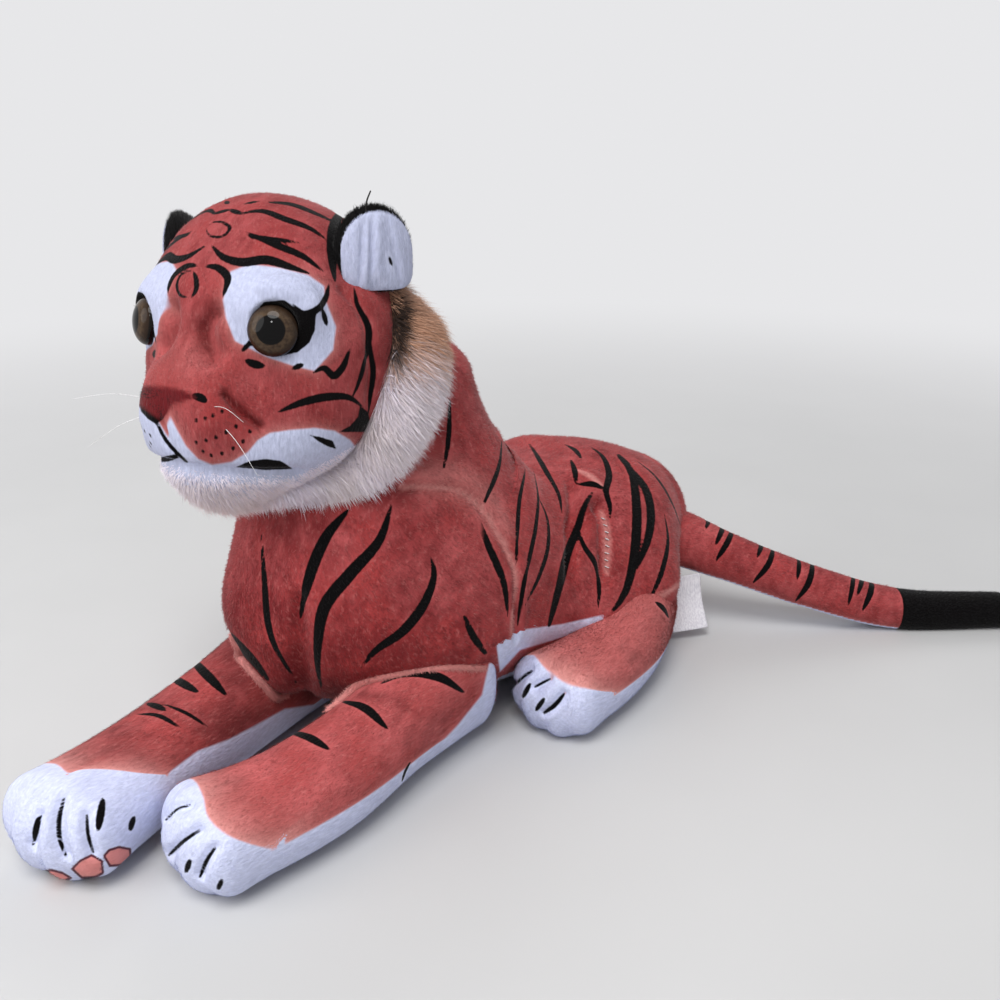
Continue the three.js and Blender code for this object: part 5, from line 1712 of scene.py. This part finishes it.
def chin_fur():
    """Fur under the mouth: it starts at the drawn edge and lengthens downward to meet the ruff."""
    points, normals = scattered(head_skin, RUFF_COUNT * 3)
    pixels, folded = face_pixels(points)
    edge = np.array(fur_edge, float)
    below = pixels[:, 1] - np.interp(pixels[:, 0], edge[:, 0], edge[:, 1])
    kept = (below > 0) & (folded[:, 1] < 0.5 * HEAD_HALF_WIDTH) & (folded[:, 2] < -0.3 * HEAD_HALF_WIDTH)
    points, normals, below = points[kept], normals[kept], below[kept]
    local = to_head(points)
    nap = np.stack([0.25 * np.sign(local[:, 0]), np.full(len(points), 0.75), np.full(len(points), -0.65)],
                   axis=1)
    lean = laid(normals, nap, 24.0, 0.25)
    length = np.clip(1.4 + below / 9.0, 1.4, 5) * np.clip(1 + rng.normal(0, 0.2, len(points)), 0.5, 1.5)
    colours = blend_colours(np.tile(SNOW, (len(points), 1)), CREAM, below / 40
                            + rng.normal(0, 0.2, len(points)))
    colours = colours * np.clip(1 + rng.normal(0, 0.05, len(points)), 0.8, 1.2)[:, None]
    return ribbons("chin_fur", points, normals, lean, colours, length, np.full(len(points), 0.28),
                   np.array([0, 0.1, -0.4]), pile_material())


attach(chin_fur(), "head")

# %% [markdown]
# Ears: a cupped back of black plush and a white lining gathered in pleats.

# %% Ears
EAR_HALF_WIDTH = 12.0
EAR_CENTRE, EAR_FACING = np.array([0.9, 0.03, 0.66]), 50.0
# Where a pleat's fold runs: its offset across the ear, its slant, its depth and its width, in millimetres
EAR_PLEATS = [(-5.4, 0.1, 0.7, 0.8), (-2.6, 0.06, 1.0, 0.8), (4.6, -0.2, 0.5, 0.9)]
EAR_MARK = [([(389, 256), (392, 266)], 1.0)]
EAR_FOOT_POWER = 0.42
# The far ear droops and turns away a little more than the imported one
EAR_TWIST = {"left": (4.0, (0.6, -1.4, -0.4), 5.2), "right": (24.0, (-2.2, 0.4, -2.8), 6.5)}


def ear_surface(radius, height, front_bulge, back_bulge, rings=34, around=84, pleats=0.0):
    """A pad with a round top and a flat foot: the share from the middle sets the place in its outline,
    both faces bulge by a square root that falls to the rim, and the front is folded along its pleats."""
    share = np.sin(np.linspace(0, np.pi / 2, rings))
    angle = 2 * np.pi * np.arange(around) / around
    share, angle = np.meshgrid(share, angle, indexing="ij")
    foot = np.sin(angle) < 0
    x = radius * share * np.sign(np.cos(angle)) * np.abs(np.cos(angle)) ** np.where(foot, EAR_FOOT_POWER, 1.0)
    z = height * share * np.sin(angle) * np.where(foot, 0.92
                                                  * np.abs(np.sin(angle)) ** (EAR_FOOT_POWER - 1), 1.0)
    fall = np.sqrt(np.maximum(1 - share**2, 0))
    fold = sum(depth * np.exp(-((x - at - slant * z) / width) ** 2) for at, slant, depth, width in EAR_PLEATS)
    swell = sum(depth * 0.7 * np.exp(-((x - at - slant * z - 2.1) / 1.5) ** 2) for at, slant, depth,
                width in EAR_PLEATS)
    front = -front_bulge * fall + pleats * (fold - swell) * (1 - share**6)
    bend = 0.012 * x**2
    first = np.stack([x, front + bend, z], axis=-1)
    last = np.stack([x, back_bulge * fall + bend, z], axis=-1)[::-1]
    grid = np.concatenate([first[1:], last[1:-1]])
    ends = np.stack([first[0, 0], last[-1, 0]])
    return np.concatenate([grid.reshape(-1, 3), ends]), grid.shape[:2]


def plain_fields(ink, white):
    def fields(points, normals):
        count = len(points)
        return (np.full(count, ink), np.full(count, white), np.full(count, 0.3), np.zeros(count),
                np.full(count, PLAIN_PAD))
    return fields


def add_ear(side, sign):
    twist, drop, bulge = EAR_TWIST[side]
    turned = turn(sign * (EAR_FACING + twist), 2)
    centre = EAR_CENTRE * [sign, 1, 1] * HEAD_HALF_WIDTH + drop

    def placed(points):
        return to_world(points @ turned.T + centre)

    points, shape = ear_surface(EAR_HALF_WIDTH, EAR_HALF_WIDTH * 1.08, 1.0, bulge)
    back_skin = Skin(placed(points), *ring_faces(*shape))
    back_cover = cloth(f"ear_{side}_cover", back_skin, plain_fields(-5.0, 5.0), plush_down,
                       [f"ear_{side}_back"])
    points, shape = ear_surface(EAR_HALF_WIDTH - 0.9, EAR_HALF_WIDTH * 1.08 - 1.1, 1.6, 0.4, pleats=1.0)
    lining_skin = Skin(placed(points + [sign * 0.7, -1.6, -0.5]), *ring_faces(*shape))
    marks = strokes_on(lining_skin, EAR_MARK) if side == "left" else []

    def lining_fields(points, normals):
        return stroke_field(points, marks), *plain_fields(5.0, -5.0)(points, normals)[1:]

    lining = cloth(f"ear_{side}_lining_cover", lining_skin, lining_fields, plush_face_painted_shade,
                   [f"ear_{side}_lining"])
    budget = TUFT_BUDGET // 11
    up = (to_world(np.array([[0, 0, 1.0]])) - HEAD_AT)[0]
    black_pile = tufts(f"ear_{side}_pile", back_skin, budget, steady(*up), plain_fields(-5.0, 5.0), 1.7, 0.24)
    white_pile = tufts(f"ear_{side}_lining_pile", lining_skin, budget, steady(*up), lining_fields, 1.1, 0.22,
                       rules=ear_rules)
    for piece in (back_cover, lining, black_pile, white_pile):
        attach(piece, f"ear_{side}")
    return back_skin


ear_skins = {side: add_ear(side, sign) for side, sign in (("left", 1), ("right", -1))}

# %% [markdown]
# The eyes are clear domes over a brown ring and a black pupil, with a rim pressed into the cloth.

# %% Eyes
def turned_profile(profile, around=64):
    """A profile of radius and height, spun about the look direction."""
    profile = np.array(profile)
    angle = 2 * np.pi * np.arange(around) / around
    rings = np.stack([profile[:, :1] * np.cos(angle), profile[:, :1] * np.sin(angle),
                      np.repeat(profile[:, 1:], around, axis=1)], axis=-1)
    return rings


def facing_axes(look):
    side = unit(np.cross([0, 0, 1.0], look))
    return np.stack([side, np.cross(look, side), look], axis=1)


def eye_material():
    """Pupil, ring and rim by the distance from the look axis, which rides on the mesh as an attribute."""
    made, tree, shader = new_material("eye_glass", roughness=0.06, specular=0.1, coat=0.08)
    off = attribute(tree, "off_axis")
    fleck = noise(tree, 900.0)
    iris = mix_colour(tree, ramp(tree, fleck, 0.3, 0.7), linear(56, 43, 33), linear(78, 62, 47))
    iris = mix_colour(tree, ramp(tree, off, 0.72, 0.95), iris, linear(46, 34, 26))
    iris = mix_colour(tree, ramp(tree, off, 0.6, 0.53), iris, linear(7, 6, 6))
    iris = mix_colour(tree, ramp(tree, off, 0.94, 0.98), iris, linear(14, 11, 10))
    tree.links.new(iris, shader.inputs["Base Color"])
    return made


glass = eye_material()
EYE_DOME, EYE_RIM = 4.6, 0.9


def add_eye(side, sign):
    seat, look = eye_seat(sign)
    seat, look = to_world(seat[None])[0], look @ HEAD_TURN.T
    lean = np.linspace(0, np.pi / 2, 28)[:-1]
    profile = [(0.3, -1.5), (EYE_RADIUS * 0.5, -1.5), (EYE_RADIUS * 0.98, -1.2), (EYE_RADIUS, EYE_RIM)]
    profile += list(zip(EYE_RADIUS * np.cos(lean)[1:], EYE_RIM + EYE_DOME * np.sin(lean)[1:]))
    rings = turned_profile(profile)
    points = np.concatenate([rings.reshape(-1, 3), [[0, 0, -1.5], [0, 0, EYE_RIM + EYE_DOME]]])
    skin = Skin(points @ facing_axes(look).T + seat, *ring_faces(*rings.shape[:2]))
    mesh = fill_mesh(f"eye_{side}_lens", skin.points, skin.quads, skin.fans)
    set_value(mesh, "off_axis", np.hypot(points[:, 0], points[:, 1]) / EYE_RADIUS)
    lens = add_piece(f"eye_{side}_lens", mesh, glass)
    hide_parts(f"eye_{side}")
    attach(lens, "head")


for side, sign in (("left", 1), ("right", -1)):
    add_eye(side, sign)

# %% [markdown]
# Small trim: clear whiskers, white thread at the hip, a stray black thread at the left ear, and the bare
# label.

# %% Threads and whiskers
def thread_material(name, colour, roughness):
    made, tree, shader = new_material(name, roughness=roughness, specular=0.4)
    twist = noise(tree, 2500.0)
    tree.links.new(mix_colour(tree, ramp(tree, twist, 0.3, 0.7), colour * 0.75, colour),
                   shader.inputs["Base Color"])
    return made


def thread(name, line, radius, material, taper=0.0, sides=8):
    """A round section carried along a smooth line, narrowing by taper to its tip."""
    path = smooth_rows(np.array(line, float), 24)
    share = np.linspace(0, 1, len(path))
    rows = np.concatenate([path, np.repeat((radius * (1 - taper * share))[:, None], 3, axis=1)], axis=1)
    ahead = rows[-1, :3] - rows[0, :3]
    side = np.cross(ahead, [0, 0, 1.0] if abs(ahead[2]) < 0.8 * np.linalg.norm(ahead) else [0, 1.0, 0])
    tube = Tube(rows, side, radius, radius * (1 - taper), sides, 24, 2)
    skin = tube_skin(tube)
    return add_piece(name, fill_mesh(name, skin.points, skin.quads, skin.fans), material)


filament = thread_material("filament", linear(236, 236, 236), 0.25)
white_thread = thread_material("white_thread", linear(228, 222, 222), 0.8)
black_thread = thread_material("black_thread", linear(20, 18, 18), 0.7)
whisker_shares = {"upper": ((0.31, -1, -0.3), (0.75, -0.35, 0.1)),
                  "lower": ((0.33, -0.96, -0.42), (0.78, -0.3, -0.3))}
WHISKER_LENGTH = 26.0


def add_whiskers(side, sign):
    for level_name, (root, lean) in whisker_shares.items():
        ahead = unit(np.array(lean) * [sign, 1, 1])
        start = np.array(root) * [sign, 1, 1] * HEAD_HALF_WIDTH - ahead * 3.0
        bend, end = start + ahead * WHISKER_LENGTH / 2, start + ahead * WHISKER_LENGTH
        end = end - [0, 0, WHISKER_LENGTH / 8]
        name = f"whisker_{side}_{level_name}"
        piece = thread(f"{name}_strand", to_world(np.array([start, bend, end])), 0.12, filament, 0.7)
        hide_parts(name)
        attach(piece, "head")


for side, sign in (("left", 1), ("right", -1)):
    add_whiskers(side, sign)

LOOSE_THREAD_AT, LOOSE_THREAD_UP, LOOSE_THREAD_RIGHT = (366, 213), 6.4, 1.3
root = ear_skins["left"].cast(LOOSE_THREAD_AT)
tip = root + camera_up * LOOSE_THREAD_UP + camera_right * LOOSE_THREAD_RIGHT
loose_line = [root, (root + tip) / 2 - camera_right * 0.5, tip]
loose_thread = thread("loose_thread", loose_line, 0.3, black_thread, 0.3)
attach(loose_thread, "ear_left")

# The hip was mended by hand: short slanted stitches of white thread lie along the pucker
STITCHES = 8
stitch_path = smooth_rows(hip_pucker, STITCHES + 2)[1:-1]
for number, pixel in enumerate(stitch_path):
    half_run, rise, shift = rng.uniform(1.5, 2.1), rng.uniform(0.5, 0.8), rng.normal(0, 0.2)
    ends = np.array([body_skin.cast(pixel + [shift + side * half_run, side * rise]) for side in (-1, 0, 1)])
    ends = ends - camera_ahead * [[0.3], [0.9], [0.3]]
    stitch = thread(f"hip_stitch_{number}", ends, rng.uniform(0.2, 0.34), white_thread, 0.2)
    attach(stitch, "torso")

# %% [markdown]
# The label is a strip of satin that hangs from the seam at the rump. It is bare on both sides.

# %% Care label
LABEL_TOP = np.array([0.98 * BODY_HALF_WIDTH, 0.435 * BODY_LENGTH, 0.56 * BODY_HALF_HEIGHT])
LABEL_WIDTH, LABEL_LENGTH, LABEL_THICKNESS = 17.0, 24.0, 0.35


def label_sheet():
    """Satin strip: down its length it bows out and back like a sine, and across its width it cups a
    little."""
    across, down = np.meshgrid(np.linspace(-0.5, 0.5, 26), np.linspace(0, 1, 40), indexing="ij")
    x = across * LABEL_WIDTH
    z = -down * LABEL_LENGTH
    y = 1.6 * np.sin(np.pi * down * 1.2) + 1.4 * across**2 * down + 0.5 * np.sin(5 * across + 3 * down) * down
    points = np.stack([x, y, z], axis=-1).reshape(-1, 3)
    points = points @ turn(-20, 0).T @ turn(62, 2).T + LABEL_TOP
    i, j = np.meshgrid(np.arange(25), np.arange(39), indexing="ij")
    a = i * 40 + j
    quads = np.stack([a, a + 1, a + 41, a + 40], axis=-1).reshape(-1, 4)
    return points, quads


def satin_material():
    made, tree, shader = new_material("satin", roughness=0.45, sheen=0.3, specular=0.4)
    weave = noise(tree, 1600.0, (1, 1, 0.25))
    colour = mix_colour(tree, ramp(tree, weave, 0.3, 0.7), linear(214, 212, 220), linear(238, 237, 242))
    tree.links.new(colour, shader.inputs["Base Color"])
    add_bump(tree, shader, weave, 0.25, 0.0004)
    return made


points, quads = label_sheet()
label = add_piece("care_label_strip", fill_mesh("care_label_strip", points, quads), satin_material())
thicken = label.modifiers.new("thickness", "SOLIDIFY")
thicken.thickness, thicken.offset = LABEL_THICKNESS * MM, 0.0
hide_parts("care_label")
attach(label, "care_label")

# %% [markdown]
# Washers lock the eyes behind the cloth, out of sight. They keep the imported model's shape in moulded
# plastic.

# %% Washers
def washer_material():
    made, tree, shader = new_material("washer_plastic", roughness=0.5, specular=0.4)
    cloud = noise(tree, 300.0)
    colour = mix_colour(tree, ramp(tree, cloud, 0.3, 0.7), linear(210, 210, 206), linear(230, 230, 226))
    tree.links.new(colour, shader.inputs["Base Color"])
    return made


washer_plastic = washer_material()
for side in ("left", "right"):
    washer = frame["nodes"][f"eye_washer_{side}"]
    washer.data.materials.clear()
    washer.data.materials.append(washer_plastic)

# %% [markdown]
# The stage: one pale sheet for floor and backdrop, a broad key lamp, a fill and a dim sky.

# %% Stage and light
SKY = (0.80, 0.80, 0.815)
FLOOR_FADE = (0.2, 0.95)


def seen_rays(tree):
    """One for what the camera sees, straight or in a reflection or through glass, and none for light."""
    path = node(tree, "ShaderNodeLightPath")
    seen = arithmetic(tree, "MAXIMUM", path.outputs["Is Camera Ray"], path.outputs["Is Glossy Ray"])
    return arithmetic(tree, "MAXIMUM", seen, path.outputs["Is Transmission Ray"])


def stage_material():
    """Pale paper near the toy, which turns into the sky's colour with distance, so that no horizon shows."""
    made, tree, shader = new_material("stage", roughness=0.9, specular=0.1)
    paper = noise(tree, 8.0)
    colour = mix_colour(tree, ramp(tree, paper, 0.2, 0.8), (0.55, 0.55, 0.55), (0.575, 0.575, 0.575))
    tree.links.new(colour, shader.inputs["Base Color"])
    place = node(tree, "ShaderNodeTexCoord").outputs["Object"]
    distance = node(tree, "ShaderNodeVectorMath", {0: place}, operation="LENGTH").outputs["Value"]
    far = arithmetic(tree, "MULTIPLY", ramp(tree, distance, *FLOOR_FADE), seen_rays(tree))
    glow = node(tree, "ShaderNodeEmission", {"Color": (*SKY, 1), "Strength": 1.0})
    mixed = node(tree, "ShaderNodeMixShader",
                 {0: far, 1: shader.outputs["BSDF"], 2: glow.outputs["Emission"]})
    tree.links.new(mixed.outputs["Shader"], tree.nodes["Material Output"].inputs["Surface"])
    return made


def add_stage():
    half = 3000.0
    floor_points = np.array([[-half, -half, 0], [half, -half, 0], [half, half, 0], [-half, half, 0]])
    floor = add_piece("floor", fill_mesh("floor", floor_points, [[0, 1, 2, 3]]), stage_material(),
                      smooth=False)


def add_lamp(name, at, target, size, power):
    data = bpy.data.lights.new(name, "AREA")
    data.shape, data.size, data.energy = "DISK", size, power
    lamp = bpy.data.objects.new(name, data)
    lamp.location = at
    lamp.rotation_euler = (Vector(target) - Vector(at)).to_track_quat("-Z", "Y").to_euler()
    bpy.context.scene.collection.objects.link(lamp)


def add_world():
    """A plain sky: what the camera and glossy rays see is near white, what lights the toy is dimmer."""
    world = bpy.data.worlds.new("sky")
    world.use_nodes = True
    bpy.context.scene.world = world
    tree = world.node_tree
    sky = tree.nodes["Background"]
    sky.inputs["Color"].default_value = (*SKY, 1)
    strength = node(tree, "ShaderNodeMapRange", {"Value": seen_rays(tree), "To Min": 0.58, "To Max": 1.0})
    tree.links.new(strength.outputs["Result"], sky.inputs["Strength"])


add_stage()
add_world()
add_lamp("key", (0.32, -0.56, 1.24), (0.0, -0.07, 0.03), 0.7, 11.0)
add_lamp("fill", (-0.3, -1.0, 0.6), (0.0, -0.14, 0.0), 0.9, 5.4)
add_lamp("spark", (0.42, -0.75, 0.72), (0.0, -0.13, 0.15), 0.08, 0.6)
add_lamp("back", (-0.7, 0.7, 0.9), (0.0, 0.0, 0.06), 0.6, 3.0)
bpy.context.scene.view_settings.view_transform = "Standard"
